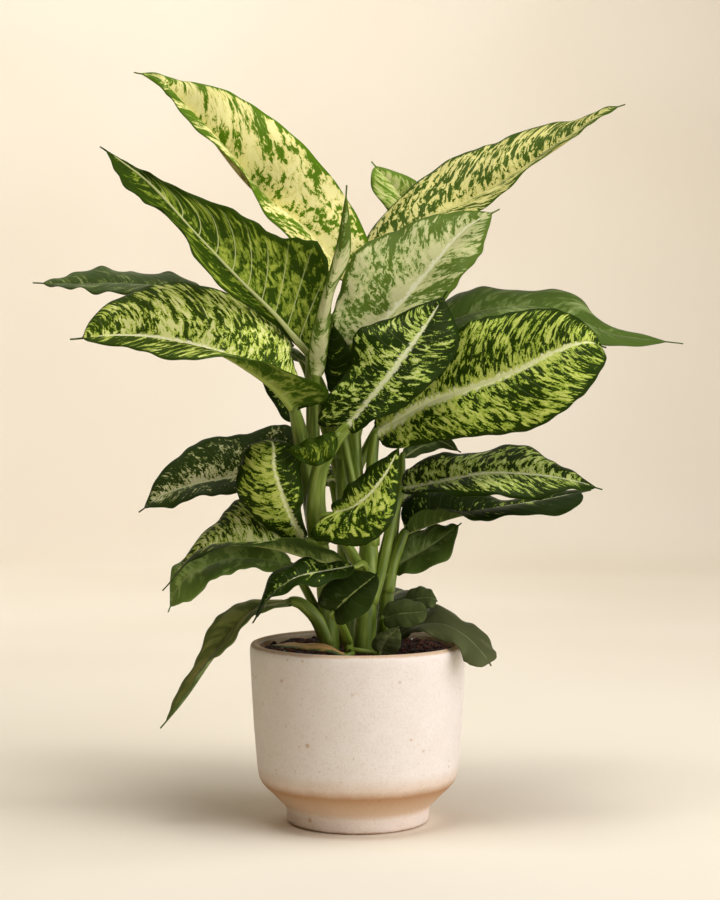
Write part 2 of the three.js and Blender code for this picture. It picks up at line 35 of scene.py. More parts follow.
# The camera stands level with the middle of the plant and looks a little down.
CAMERA_PLACE = (0.002, -1.839, 0.404)  # m
CAMERA_TILT = 1.87  # degrees below level
CAMERA_LENS = 79.6  # mm, for a picture of 720 by 900
CAMERA_SENSOR = 36  # mm, on the picture's long side

# The lamps, one a row: name, place and aim in m, width in m, power in W, and colour. The wall's lamp hangs
# behind the plant, out of sight overhead, and lights the wall only.
PLANT_MIDDLE = (0, 0, 0.38)
LAMPS = (
    ("key", (2.3, -1.4, 1.2), PLANT_MIDDLE, 3.6, 82, "#faf9ff"),
    ("top", (0.1, -0.3, 2.4), PLANT_MIDDLE, 1.3, 34, "#fffdf8"),
    ("wall", (-0.75, 1.9, 2.3), (-0.75, 3.4, 0.3), 2.4, 34, "#fdf9f6"),
)
GLOW_COLOUR = "#f2c9a0"
GLOW_STRENGTH = 0.09

# The backdrop, in m: a floor that curves up into a wall.
FLOOR_FRONT = -3.0
FLOOR_BACK = 2.6
SWEEP_RADIUS = 0.8
SWEEP_STEPS = 12
WALL_TOP = 3.5
BACKDROP_SIDE = 4.0

# Leaf blades, all alike but for what their rows say. Lengths are in mm.
BLADE_COLUMNS = 14  # faces from the rib to each margin
COLUMN_CROWDING = 1.2  # above 1, the columns lie closer together beside the rib
FEWEST_VEINS = 8
VEIN_SPACING = 11.0  # between side veins, measured along the rib
VEIN_ROWS = [0.0, 0.1, 0.28, 0.5, 0.72, 0.9]  # where the rows of faces lie between two side veins
VEIN_SWEEP = 0.55  # how strongly the side veins bend towards the tip on their way to the margin
VEIN_WIDTH = 0.13  # half the width of a raised side vein, as a share of the spacing
VEIN_HEIGHT = 0.2
TIP_POINT = 0.85  # how drawn out the tip is: 0.4 is blunt
BASE_FULLNESS = 0.45  # how fast the blade widens at its base: the less, the rounder
OUTLINE_END = 0.95  # where along the rib the blade ends and its thin tip goes on alone
ARCH = 0.4  # how far each half bows up between rib and margin, as a share of its width
WAVE = 2.4  # height of the margin's waves
WAVES = 3.3  # waves along a margin
RUFFLE = 0.8  # height of the small ruffles on the waves
SMALL_RUFFLE = 0.1  # the same on a small leaf
RUFFLES = 8.7  # ruffles along a margin
SCALLOP = 0.012  # how far the margin is scalloped, as a share of the blade's width
SCALLOPS = 13  # scallops along a margin
HALF_THICKNESS = 0.42  # beside the rib
MARGIN_THINNING = 0.14  # how much less it is at the margin
TIP_HALF_WIDTH = 0.7  # what is left of the blade's foot, as wide as its stalk, at the very tip
RIB_TIP_RADIUS = 0.4
RIB_ROUND = 0.85  # how round the rib stands out below: 1 is half a circle
CREASE_DEPTH = 0.5  # of the groove over the rib
CREASE_WIDTH = 2.2
VEIN_BELOW = 1.4  # how much further the side veins stand out below than they are sunk above

# How the blades' finish is laid out, where their rows don't say.
MARGIN_WIDTH = 6  # mm, how far in from the edge the blade stays dark
MARGIN_SHADE = 0.26  # how much less light the blade's margin is than the rest
TIP_SHADE = 0.1  # how much less light the tip is
RIB_GLOW = (0.12, 6)  # how much lighter the blade is beside the rib, and how far out in mm
RIB_EDGE = 0.35  # mm, half the width that the pale rib still has near the tip
RIB_FADE = 4  # how many of its widths the rib's colour draws in by at the tip
NO_RIB = 9  # how many widths away from the rib's colour a blade without a pale rib is
LEAF_SHIFT = 370  # mm between one leaf's place in the marks' pattern and the next's

# Stalks and canes, in mm.
STALK_SIDES = 20
STALK_STEP = 4.0
CHANNEL_DEPTH = 0.16  # of a stalk's channel, as a share of its radius
CHANNEL_WIDTH = 0.5  # half of it, in radians
PLAIN_CHANNEL = 0.3  # how much of that depth is left beyond the part that clasps the cane
WING = 0.3  # how much wider a stalk is where it clasps the cane
LEAST_LEAN = 12  # a stalk that leans out by less than this has its channel at the back
STREAK_WRAP = 6  # mm of the streaks' pattern for each radian round a stalk
STALK_SHIFT = 53  # between one stalk's place in that pattern and the next's
SCAR_SPACING = 17  # between the ring scars that old leaves left on a cane
SCAR_HEIGHT = 0.05  # as a share of the cane's radius

# The pot and the soil, in mm.
POT_SIDES = 128
POT_WOBBLE = 0.0012  # how far the pot is from round, as a share of its radius
SOIL_SECTORS = 150
SOIL_RINGS = 62
SOIL_RING_RADII = (88.5, 1.5)
SOIL_TOP = 159.0
SOIL_FALL = 2.5  # how much lower the soil is at the wall than in the middle
SOIL_HEAP = 3.5  # how much higher it is heaped behind the canes
# Height and width of the lumps in the soil's top, and where in the noise each kind starts.
SOIL_LUMPS = ((2.2, 14, 3.1), (1.4, 4.5, 8.7), (0.7, 1.9, 5.2))
CRUMBS = 900
CRUMB_REACH = 86  # how far from the middle the loose crumbs lie
CRUMB_SIDES = 6
PEAT, BARK, PERLITE = 0, 1, 2
BARK_EVERY = 3  # one crumb in three is a chip of bark
PERLITE_EVERY = 23
CRUMB_SIZES = (0.8, 2.4)
PERLITE_SIZES = (0.7, 1.5)
BARK_LENGTHS = (1, 2.6)  # as a share of its width

# Leaf blades. The rib runs from the stalk to the tip. The margins lie beside each inner point of the rib,
# left and right as seen on the upper face with the tip ahead. point: how drawn out the tip is. wave: the
# height of the margin's waves in mm. small: the margin is nearly free of ruffles.
LEAVES = {
    # The crown: long cream blades, one still rolled up.
    "top_left": {
        "rib": [
            [-7, 20, 500], [-51, 40, 551], [-103, 55, 593], [-144, 65, 645],
            [-176, 72, 683], [-192, 77, 698], [-215, 82, 704],
        ],
        "left": [[-75, 2, 552], [-100, 8, 587], [-137, 22, 633], [-170, 45, 662], [-187, 62, 688]],
        "right": [[-7, 55, 574], [-61, 65, 640], [-115, 77, 680], [-156, 78, 693], [-188, 82, 701]],
        "point": 0.75,
    },
    "top_right": {
        "rib": [
            [8, 30, 515], [57, 52, 557], [107, 68, 580], [157, 82, 610],
            [205, 92, 642], [234, 96, 666], [259, 100, 676],
        ],
        "left": [[40, 84, 584], [96, 98, 624], [138, 108, 642], [193, 112, 659], [233, 104, 670]],
        "right": [[71, 30, 542], [120, 38, 574], [162, 48, 606], [207, 66, 644], [234, 82, 660]],
    },
    "top_back": {
        "rib": [[75, 78, 520], [62, 88, 552], [42, 96, 586], [13, 102, 621]],
        "left": [[38, 82, 562], [14, 92, 595]],
        "right": [[78, 98, 570], [58, 102, 600]],
        "wave": 1.2,
        "small": True,
    },
    "spike": {
        "rib": [[-38, -28, 412], [-34, -34, 450], [-26, -37, 489], [-14, -36, 530], [-10, -30, 585]],
        "left": [[-42, -31, 448], [-31, -33, 488], [-19, -33, 529]],
        "right": [[-27, -31, 448], [-22, -33, 488], [-7, -33, 527]],
        "wave": 0,
        "small": True,
    },
    "pale_centre": {
        "rib": [
            [-2, -22, 436], [22, -14, 460], [47, -4, 487], [75, 10, 521],
            [101, 24, 550], [133, 36, 569],
        ],
        "left": [[-20, -5, 478], [2, 12, 530], [46, 24, 552], [86, 34, 566]],
        "right": [[37, -34, 461], [75, -30, 481], [101, -14, 509], [118, 6, 540]],
    },
    # The upper ring.
    "upper_left": {
        "rib": [
            [-46, -15, 433], [-74, -31, 466], [-106, -58, 498], [-144, -78, 538],
            [-180, -92, 578], [-204, -98, 597], [-224, -102, 611],
        ],
        "left": [[-36, -10, 531], [-73, -38, 538], [-115, -62, 561], [-170, -88, 582], [-198, -96, 596]],
        "right": [
            [-81, -36, 465], [-131, -92, 499], [-157, -112, 547], [-191, -112, 566],
            [-209, -108, 590],
        ],
    },
    "far_left": {
        "rib": [
            [-50, 45, 428], [-108, 62, 468], [-165, 80, 494], [-225, 95, 502],
            [-275, 106, 502], [-318, 112, 504],
        ],
        "left": [[-100, 32, 458], [-165, 45, 482], [-229, 62, 493], [-278, 85, 496]],
        "right": [[-118, 92, 465], [-170, 112, 507], [-229, 128, 516], [-279, 124, 514]],
    },
    "mid_left": {
        "rib": [
            [-58, -50, 382], [-72, -57, 399], [-93, -65, 415], [-128, -76, 434],
            [-175, -84, 445], [-213, -90, 447], [-252, -94, 444],
        ],
        "left": [
            [-31, -82, 402], [-72, -98, 420], [-132, -112, 428], [-174, -115, 428],
            [-210, -109, 439],
        ],
        "right": [[-58, -28, 424], [-68, -12, 450], [-107, -30, 483], [-169, -60, 494], [-212, -68, 481]],
        "point": 0.5,
    },
    "tucked_left": {
        "rib": [[-56, -6, 378], [-73, -9, 398], [-93, -12, 418], [-108, -14, 431]],
        "left": [[-75, -18, 384], [-92, -22, 415]],
        "right": [[-68, 4, 410], [-94, 2, 426]],
        "wave": 1.2,
        "small": True,
    },
    "dark_centre": {
        "rib": [
            [-9, -68, 367], [12, -68, 392], [31, -64, 416], [48, -56, 439],
            [64, -46, 462], [81, -36, 489],
        ],
        "left": [[-31, -56, 384], [-8, -50, 420], [3, -42, 454], [44, -38, 470]],
        "right": [[17, -84, 374], [50, -80, 392], [77, -70, 419], [90, -54, 449]],
    },
    "centre_small": {
        "rib": [[-19, -74, 359], [-31, -80, 351], [-46, -82, 345], [-64, -78, 347]],
        "left": [[-31, -78, 359], [-47, -78, 354]],
        "right": [[-27, -80, 337], [-43, -82, 334]],
        "small": True,
    },
    "big_right": {
        "rib": [
            [18, -28, 360], [61, -38, 386], [102, -46, 401], [141, -50, 416],
            [178, -48, 434], [205, -42, 442], [226, -26, 438],
        ],
        "left": [[48, -22, 412], [90, -36, 452], [122, -40, 466], [168, -38, 472], [201, -34, 464]],
        "right": [[66, -52, 354], [114, -64, 359], [161, -68, 368], [198, -64, 393], [220, -52, 421]],
        "point": 0.6,
    },
    "back_right": {
        "rib": [
            [38, 25, 435], [87, 45, 464], [139, 60, 478], [192, 70, 475],
            [244, 78, 453], [314, 85, 444],
        ],
        "left": [[93, 78, 490], [147, 100, 497], [206, 105, 492], [250, 100, 460]],
        "right": [[85, 8, 445], [137, 22, 454], [193, 32, 460], [240, 50, 440]],
    },
    # The middle ring.
    "right_mid": {
        "rib": [
            [42, -12, 307], [79, -28, 316], [117, -42, 324], [160, -54, 323],
            [193, -62, 318], [218, -68, 311],
        ],
        "left": [[69, 0, 337], [111, -8, 343], [159, -22, 346], [189, -44, 327]],
        "right": [[78, -52, 307], [117, -74, 305], [160, -84, 305], [194, -80, 311]],
    },
    "under_right": {
        "rib": [[46, 8, 268], [72, 10, 277], [98, 10, 284], [135, 8, 291], [175, 4, 298], [216, 0, 307]],
        "left": [[58, 34, 303], [98, 42, 308], [140, 34, 296], [182, 22, 304]],
        "right": [[69, -22, 292], [97, -26, 283], [133, -24, 283], [188, -20, 288]],
        "point": 0.45,
    },
    "back_small_right": {
        "rib": [[44, 40, 338], [58, 46, 346], [76, 52, 352], [98, 52, 340]],
        "left": [[60, 54, 338], [80, 56, 344]],
        "right": [[57, 40, 352], [82, 46, 357]],
        "wave": 1,
        "small": True,
    },
    "left_mid": {
        "rib": [
            [-50, 0, 331], [-82, 8, 327], [-116, 14, 318], [-152, 18, 311],
            [-182, 20, 301], [-205, 20, 285],
        ],
        "left": [[-84, -20, 301], [-119, -18, 306], [-150, -14, 299], [-183, 4, 291]],
        "right": [[-73, 30, 365], [-116, 38, 356], [-158, 38, 346], [-187, 32, 317]],
    },
    "front_oval": {
        "rib": [
            [-49, -48, 266], [-60, -62, 288], [-68, -72, 310], [-74, -76, 331],
            [-75, -66, 349], [-80, -44, 356],
        ],
        "left": [[-84, -58, 280], [-105, -62, 301], [-106, -64, 330], [-97, -54, 348]],
        "right": [[-51, -60, 287], [-50, -62, 303], [-51, -62, 327], [-58, -54, 350]],
        "point": 0.6,
    },
    "front_centre": {
        "rib": [[-21, -76, 290], [-4, -84, 296], [12, -86, 309], [26, -84, 328], [38, -78, 352]],
        "left": [[-16, -72, 303], [-4, -74, 318], [16, -76, 334]],
        "right": [[-32, -90, 267], [8, -92, 265], [34, -84, 297]],
    },
    # The low ring.
    "lower_left_a": {
        "rib": [
            [-13, -36, 238], [-40, -52, 248], [-71, -58, 257], [-105, -58, 261],
            [-140, -55, 256], [-176, -52, 219],
        ],
        "left": [[-38, -70, 262], [-68, -82, 267], [-104, -88, 261], [-141, -80, 253]],
        "right": [[-43, -45, 253], [-78, -26, 281], [-112, -24, 297], [-138, -32, 270]],
    },
    "lower_left_b": {
        "rib": [
            [-62, -5, 237], [-91, -14, 244], [-120, -20, 244], [-148, -26, 234],
            [-164, -30, 219], [-173, -30, 197],
        ],
        "left": [[-89, -34, 236], [-115, -46, 236], [-136, -50, 223], [-158, -42, 207]],
        "right": [[-88, 8, 256], [-121, 12, 256], [-155, 0, 248], [-171, -14, 228]],
    },
    "front_left_low": {
        "rib": [[-4, -68, 242], [-31, -82, 239], [-55, -92, 234], [-76, -101, 219], [-92, -106, 196]],
        "left": [[-28, -102, 231], [-53, -114, 228], [-75, -116, 218]],
        "right": [[-31, -62, 246], [-56, -68, 247], [-80, -82, 228]],
        "small": True,
    },
    "front_dark": {
        "rib": [[-21, -74, 202], [-12, -78, 212], [-2, -77, 221], [9, -72, 229], [18, -66, 236]],
        "left": [[-34, -66, 215], [-23, -62, 229], [-4, -58, 237]],
        "right": [[-9, -88, 195], [10, -86, 207], [17, -78, 223]],
        "point": 0.6,
        "wave": 1.2,
        "small": True,
    },
    "right_low": {
        "rib": [[38, 8, 237], [55, 10, 246], [73, 14, 257], [97, 20, 275]],
        "left": [[51, 28, 265], [76, 30, 272]],
        "right": [[52, -4, 231], [84, 0, 245]],
        "small": True,
    },
    "small_round_front": {
        "rib": [[24, -25, 191], [37, -36, 196], [51, -44, 198], [64, -50, 200]],
        "left": [[33, -24, 206], [51, -30, 207]],
        "right": [[37, -44, 184], [53, -52, 188]],
        "point": 0.5,
        "wave": 1,
        "small": True,
    },
    "small_round_back": {
        "rib": [[44, -10, 205], [55, -16, 208], [66, -20, 209], [73, -22, 206]],
        "left": [[54, -8, 217], [65, -10, 216]],
        "right": [[56, -24, 200], [66, -28, 201]],
        "point": 0.5,
        "wave": 1,
        "small": True,
    },
    "right_drooping": {
        "rib": [
            [33, -6, 166], [51, -20, 182], [75, -34, 187], [96, -46, 178],
            [111, -56, 164], [120, -60, 152],
        ],
        "left": [[52, -2, 190], [76, -12, 199], [104, -26, 185], [124, -42, 165]],
        "right": [[49, -34, 178], [72, -50, 177], [90, -60, 168], [100, -68, 155]],
        "point": 0.4,
    },
    "left_drooping": {
        "rib": [
            [-61, -26, 206], [-93, -32, 200], [-115, -38, 180], [-134, -42, 154],
            [-156, -44, 121], [-179, -44, 93],
        ],
        "left": [[-92, -50, 197], [-114, -58, 172], [-138, -58, 150], [-159, -52, 121]],
        "right": [[-103, -14, 204], [-130, -22, 190], [-146, -28, 156], [-165, -36, 121]],
        "wave": 1.2,
    },
    "soil_leaf": {
        "rib": [[-12, -58, 162], [-28, -66, 171], [-48, -64, 170], [-66, -52, 169], [-78, -38, 168]],
        "left": [[-26, -76, 167], [-50, -73, 169], [-70, -56, 169]],
        "right": [[-30, -56, 170], [-46, -54, 171], [-62, -43, 170]],
        "wave": 0.5,
        "small": True,
    },
    "soil_leaf_right": {
        "rib": [[20, -45, 162], [27, -52, 176], [37, -56, 187]],
        "left": [[18, -50, 178]],
        "right": [[38, -54, 171]],
        "wave": 0.5,
        "small": True,
    },
    # The far side of the plant.
    "back_high": {
        "rib": [[-5, 35, 430], [-12, 80, 460], [-18, 125, 472], [-22, 170, 466], [-26, 225, 440]],
        "left": [[-46, 76, 466], [-58, 122, 470], [-52, 168, 462]],
        "right": [[20, 84, 466], [22, 128, 470], [8, 172, 462]],
    },
    "back_left_mid": {
        "rib": [[-70, 88, 440], [-98, 118, 452], [-130, 150, 460], [-160, 185, 454], [-190, 225, 434]],
        "left": [[-118, 100, 444], [-158, 128, 450], [-182, 168, 448]],
        "right": [[-76, 138, 452], [-102, 176, 458], [-140, 204, 450]],
    },
    "back_right_mid": {
        "rib": [[50, 60, 400], [85, 95, 424], [120, 130, 434], [150, 165, 428], [175, 205, 408]],
        "left": [[62, 116, 430], [92, 158, 436], [128, 186, 426]],
        "right": [[108, 72, 418], [148, 102, 424], [172, 142, 420]],
    },
    "back_low_left": {
        "rib": [[-25, 35, 310], [-60, 72, 332], [-95, 108, 342], [-125, 145, 336], [-150, 180, 316]],
        "left": [[-82, 52, 326], [-122, 82, 334], [-148, 124, 328]],
        "right": [[-38, 94, 336], [-68, 136, 344], [-102, 166, 334]],
    },
    "back_low_right": {
        "rib": [[35, 35, 290], [65, 75, 312], [95, 110, 320], [125, 145, 314], [150, 180, 296]],
        "left": [[44, 96, 316], [70, 138, 322], [104, 166, 312]],
        "right": [[86, 56, 306], [120, 84, 312], [146, 124, 308]],
    },
    "back_low": {
        "rib": [[-5, 40, 200], [-7, 85, 226], [-9, 130, 230], [-10, 170, 214], [-11, 210, 180]],
        "left": [[-26, 84, 228], [-31, 128, 230], [-26, 168, 212]],
        "right": [[12, 86, 228], [13, 130, 230], [8, 170, 212]],
    },
    "back_low_side": {
        "rib": [[18, 40, 180], [32, 80, 198], [46, 118, 201], [58, 152, 188], [68, 185, 163]],
        "left": [[14, 86, 200], [24, 126, 202], [40, 158, 188]],
        "right": [[50, 73, 196], [68, 110, 198], [76, 146, 185]],
        "small": True,
    },
    # A dark leaf half hidden behind the rolled one.
    "tucked_centre": {
        "rib": [[-19, -27, 396], [-19, -28, 414], [-21, -29, 434], [-22, -28, 461]],
        "left": [[-29, -20, 414], [-30, -19, 436]],
        "right": [[-6, -34, 416], [-8, -32, 436]],
        "wave": 0.8,
        "small": True,
    },
}

# Shoots: the points that the cane runs through and its radius there. Each stalk, named for its leaf, has
# the points that it runs through, its radius at the cane and its radius at the leaf.
SHOOTS = {
    "shoot_left": {
        "cane": [[-26, -14, 125], [-26, -14, 165], [-28, -16, 200], [-32, -20, 240], [-36, -24, 275]],
        "radius": [9, 9, 8.5, 8, 7],
        "stalks": {
            "dark_centre": ([[-34, -28, 262], [-38, -46, 295], [-34, -58, 328], [-22, -66, 351]], 9, 4.4),
            "mid_left": ([[-36, -24, 262], [-44, -28, 305], [-52, -38, 350]], 8, 4.6),
            "upper_left": ([[-34, -18, 270], [-42, -2, 330], [-43, 4, 380], [-44, -6, 415]], 6, 3.4),
            "spike": ([[-36, -22, 270], [-39, -14, 330], [-40, -20, 385]], 5.5, 3.6),
            "left_mid": ([[-35, -20, 260], [-37, -8, 300], [-41, -3, 324]], 5.5, 2.8),
            "tucked_left": ([[-38, -18, 310], [-47, -6, 350]], 4.5, 2.6),
            "front_oval": ([[-33, -24, 255], [-41, -36, 261]], 5, 3),
            "lower_left_a": ([[-26, -20, 200], [-14, -28, 218], [-8, -32, 231]], 5, 3),
            "lower_left_b": ([[-28, -13, 172], [-40, -8, 200], [-53, -4, 224]], 5, 2.6),
            "left_drooping": ([[-27, -15, 166], [-37, -20, 189], [-50, -24, 203]], 7.5, 4.2),
            "centre_small": ([[-20, -66, 352], [-15, -70, 358]], 3, 1.9),
        },
    },
    "shoot_centre": {
        "cane": [[6, -22, 125], [6, -22, 165], [8, -22, 200], [10, -20, 240], [9, -20, 275]],
        "radius": [10, 10, 9.5, 9, 8],
        "stalks": {
            "pale_centre": ([[6, -20, 258], [0, -20, 300], [-3, -22, 370]], 7, 3.4),
            "big_right": ([[11, -21, 258], [14, -26, 300], [13, -27, 332]], 7, 3.8),
            "right_mid": ([[12, -22, 205], [22, -20, 240], [28, -17, 265], [33, -14, 288]], 6.5, 3.2),
            "front_centre": ([[3, -27, 235], [-14, -48, 266], [-32, -71, 286]], 5, 1.7),
            "front_left_low": ([[6, -27, 205], [8, -42, 234], [4, -56, 244]], 4, 2.2),
            "tucked_centre": ([[5, -21, 268], [-6, -27, 320], [-15, -28, 368]], 5, 2.6),
        },
    },
    "shoot_right": {
        "cane": [[24, 4, 125], [24, 4, 165], [26, 3, 200], [29, 2, 230]],
        "radius": [7.5, 7.5, 7, 6],
        "stalks": {
            "under_right": ([[27, 2, 212], [32, 4, 238], [39, 6, 257]], 7, 3.4),
            "right_low": ([[27, 4, 202], [32, 6, 222]], 4, 2.2),
            "back_small_right": ([[29, 4, 225], [35, 18, 280], [41, 32, 318]], 4.5, 2.4),
            "right_drooping": ([[26, 1, 170], [29, -3, 167]], 4.5, 2.8),
            "small_round_front": ([[25, -1, 174], [22, -14, 184]], 3.6, 1.9),
            "small_round_back": ([[28, 2, 188], [36, -5, 198]], 3.4, 1.9),
            "back_low_right": ([[29, 5, 225], [31, 20, 258]], 5, 3),
            "back_low_side": ([[23, 8, 168], [19, 24, 173]], 4, 2.4),
        },
    },
    "shoot_back": {
        "cane": [[-10, 22, 125], [-10, 22, 165], [-11, 22, 230], [-13, 20, 300], [-13, 18, 350]],
        "radius": [8.5, 8.5, 8, 7.5, 6.5],
        "stalks": {
            "top_left": ([[-14, 17, 335], [-16, 14, 420], [-14, 16, 465]], 6, 3.6),
            "top_right": ([[-10, 19, 335], [-4, 20, 420], [1, 24, 475]], 6, 3.6),
            "top_back": ([[-8, 22, 335], [16, 42, 420], [50, 64, 485]], 5, 2.4),
            "far_left": ([[-15, 22, 325], [-28, 30, 385], [-40, 38, 415]], 5, 3.2),
            "back_right": ([[-9, 21, 325], [6, 20, 385], [22, 21, 418]], 5, 3.2),
            "back_high": ([[-12, 21, 335], [-8, 25, 395]], 5, 3.2),
            "back_left_mid": ([[-15, 23, 315], [-34, 32, 375], [-52, 55, 426]], 5, 3),
            "back_right_mid": ([[-8, 24, 310], [18, 34, 362]], 5, 3),
            "back_low_left": ([[-13, 23, 245], [-18, 28, 282]], 5, 3),
            "back_low": ([[-10, 25, 168], [-6, 33, 183]], 4, 2.6),
        },
    },
    # A young shoot that comes up by itself in front.
    "shoot_front": {
        "cane": [[-8, -46, 130], [-8, -46, 163], [-9, -49, 176]],
        "radius": [4.4, 4.4, 4],
        "stalks": {
            "front_dark": ([[-9, -48, 172], [-15, -62, 190]], 4, 2.2),
            "soil_leaf": ([[-8, -47, 164], [-5, -53, 162.5]], 2.8, 1.9),
            "soil_leaf_right": ([[-6, -45, 165], [8, -43, 163], [15, -42, 161.4]], 2.6, 1.8),
        },
    },
}

# How each leaf is coloured. kind: its tones. light: how much of the left and of the right half is light.
# rib: half the width of the pale rib at the base, in mm. glow: how much lighter the blade is beside the
# rib, and how far out in mm. margin: how far in from the edge the blade stays dark, in mm. tip: how much
# darker it is towards the tip. alike: both faces look the same. plain_side: no side veins on the right.
# A rib of 0 isn't pale at all. ruffle, spacing, sweep and veins stand in for the blades' own values: the
# height of the ruffles, the side veins' spacing, how far they bend to the tip and how far they stand out.
LOOKS = {
    "top_left": {"kind": "cream", "light": (-0.03, 0.05), "rib": 1.6, "margin": 4, "tip": 0.16,
                 "ruffle": 0.5},
    "top_right": {"kind": "spotted", "light": (0.0, 0.03), "rib": 1.6, "margin": 4, "tip": 0.1},
    "top_back": {"kind": "sprout", "light": (0.06, 0.06), "rib": 0, "margin": 5, "alike": True},
    "spike": {"kind": "pale", "light": (-0.04, 0.02), "rib": 0, "margin": 2, "tip": 0.3, "alike": True},
    "pale_centre": {"kind": "pale", "light": (0.0, -0.06), "rib": 4.2, "margin": 5, "glow": (0.2, 14)},
    "upper_left": {"kind": "olive", "light": (0.0, -0.05), "rib": 2.8, "margin": 8, "tip": 0.2,
                   "glow": (0.0, 6), "spacing": 17, "sweep": 0.8, "ruffle": 1.6, "veins": 0.3,
                   "plain_side": True},
    "far_left": {"kind": "grey", "light": (-0.13, -0.13), "rib": 0.8, "margin": 4, "tip": 0.0,
                 "glow": (0.05, 6), "ruffle": 2.2},
    "mid_left": {"kind": "sunlit", "light": (-0.05, 0.0), "rib": 4.2, "margin": 3, "glow": (0.1, 7)},
    "tucked_left": {"kind": "dark", "light": (-0.12, -0.12), "rib": 0.8},
    "dark_centre": {"kind": "dark", "light": (-0.04, -0.08), "rib": 4.2, "margin": 5,
                    "glow": (0.05, 8)},
    "centre_small": {"kind": "olive", "light": (-0.06, -0.04), "rib": 0, "glow": (0.0, 6),
                     "alike": True, "plain_side": True},
    "tucked_centre": {"kind": "dark", "light": (-0.2, -0.2), "rib": 0, "glow": (0.0, 6)},
    "big_right": {"kind": "lime", "light": (0.0, 0.0), "rib": 5.0, "margin": 5, "glow": (0.08, 8)},
    "back_right": {"kind": "plain", "light": (-0.06, -0.06), "rib": 0.4, "glow": (0.0, 6)},
    "right_mid": {"kind": "dark", "light": (-0.03, -0.04), "rib": 2.4, "margin": 8, "glow": (0.08, 12)},
    "under_right": {"kind": "dark", "light": (-0.19, -0.19), "rib": 0.8, "glow": (0.08, 10),
                    "tip": 0.2},
    "left_mid": {"kind": "fleck", "light": (-0.16, -0.11), "rib": 1.8, "glow": (0.2, 11)},
    "front_oval": {"kind": "lime", "light": (0.0, -0.1), "rib": 2.8, "margin": 8, "glow": (0.06, 10)},
    "front_centre": {"kind": "lime", "light": (-0.08, -0.02), "rib": 2.2, "margin": 9,
                     "glow": (0.1, 12)},
    "lower_left_a": {"kind": "meadow", "light": (-0.13, -0.02), "rib": 2.4, "glow": (0.18, 12)},
    "lower_left_b": {"kind": "plain_painted_lighter", "light": (-0.04, -0.04), "rib": 0.5, "glow": (0.05, 10)},
    "front_left_low": {"kind": "dark", "light": (-0.2, -0.2), "rib": 0.8, "glow": (0.14, 7)},
    "right_low": {"kind": "plain", "light": (-0.08, -0.08), "rib": 1.6, "glow": (0.16, 7)},
    "front_dark": {"kind": "deep", "light": (-0.14, -0.14), "rib": 1.0, "glow": (0.0, 3)},
    "small_round_front": {"kind": "dusky", "light": (-0.2, -0.2), "rib": 0.1, "glow": (0.0, 6)},
    "small_round_back": {"kind": "dusky", "light": (-0.2, -0.2), "rib": 0.1, "glow": (0.0, 6)},
    "right_drooping": {"kind": "worn", "light": (-0.16, -0.16), "rib": 0.1, "glow": (0.0, 6),
                       "veins": 0.1},
    "left_drooping": {"kind": "leathery_painted_lighter", "light": (0.0, 0.0), "rib": 0.5, "glow": (0.0, 12)},
    "back_small_right": {"kind": "dusky", "light": (-0.1, -0.1), "rib": 0.4},
    "back_high": {"kind": "lime", "light": (-0.02, -0.02), "rib": 3.4, "glow": (0.08, 8)},
    "back_left_mid": {"kind": "lime", "light": (-0.05, -0.02), "rib": 3.2, "glow": (0.08, 8)},
    "back_right_mid": {"kind": "dark", "light": (-0.04, -0.06), "rib": 3.2, "glow": (0.08, 8)},
    "back_low_left": {"kind": "meadow", "light": (-0.12, -0.06), "rib": 2.2, "glow": (0.1, 8)},
    "back_low_right": {"kind": "dark", "light": (-0.08, -0.08), "rib": 2.2, "glow": (0.1, 8)},
    "back_low": {"kind": "meadow", "light": (-0.14, -0.1), "rib": 1.6, "glow": (0.12, 8)},
    "back_low_side": {"kind": "deep", "light": (-0.1, -0.1), "rib": 1.0},
    "soil_leaf": {"kind": "faded", "light": (0.16, 0.3), "rib": 0.6},
    "soil_leaf_right": {"kind": "dusky", "light": (-0.1, -0.1), "rib": 0.3},
}

# A blade's marks: sizes in mm, across and along the side veins, of its streaks and of its islands, how
# strongly each counts, how soft the marks' edges are, and how strongly fine grit roughens them.
MARKS = {
    "blotches": ((3.0, 4.8), (17, 26), 0.85, 1.2, 0.004, 0.16),
    "spots": ((3.2, 6.8), (12, 22), 1.2, 0.6, 0.004, 0.16),
    "flames": ((2.4, 6.8), (10, 28), 1.1, 0.75, 0.003, 0.19),
    "flecks": ((1.7, 3.4), (11, 15), 1.0, 0.9, 0.005, 0.16),
    "mottles": ((3.4, 5.5), (13, 17), 1.0, 0.7, 0.01, 0.16),
    "clouds": ((5.0, 11.0), (26, 36), 0.6, 0.9, 0.024, 0.07),
    "smooth": ((14.0, 18.0), (30, 44), 0.5, 0.9, 0.03, 0.03),
}
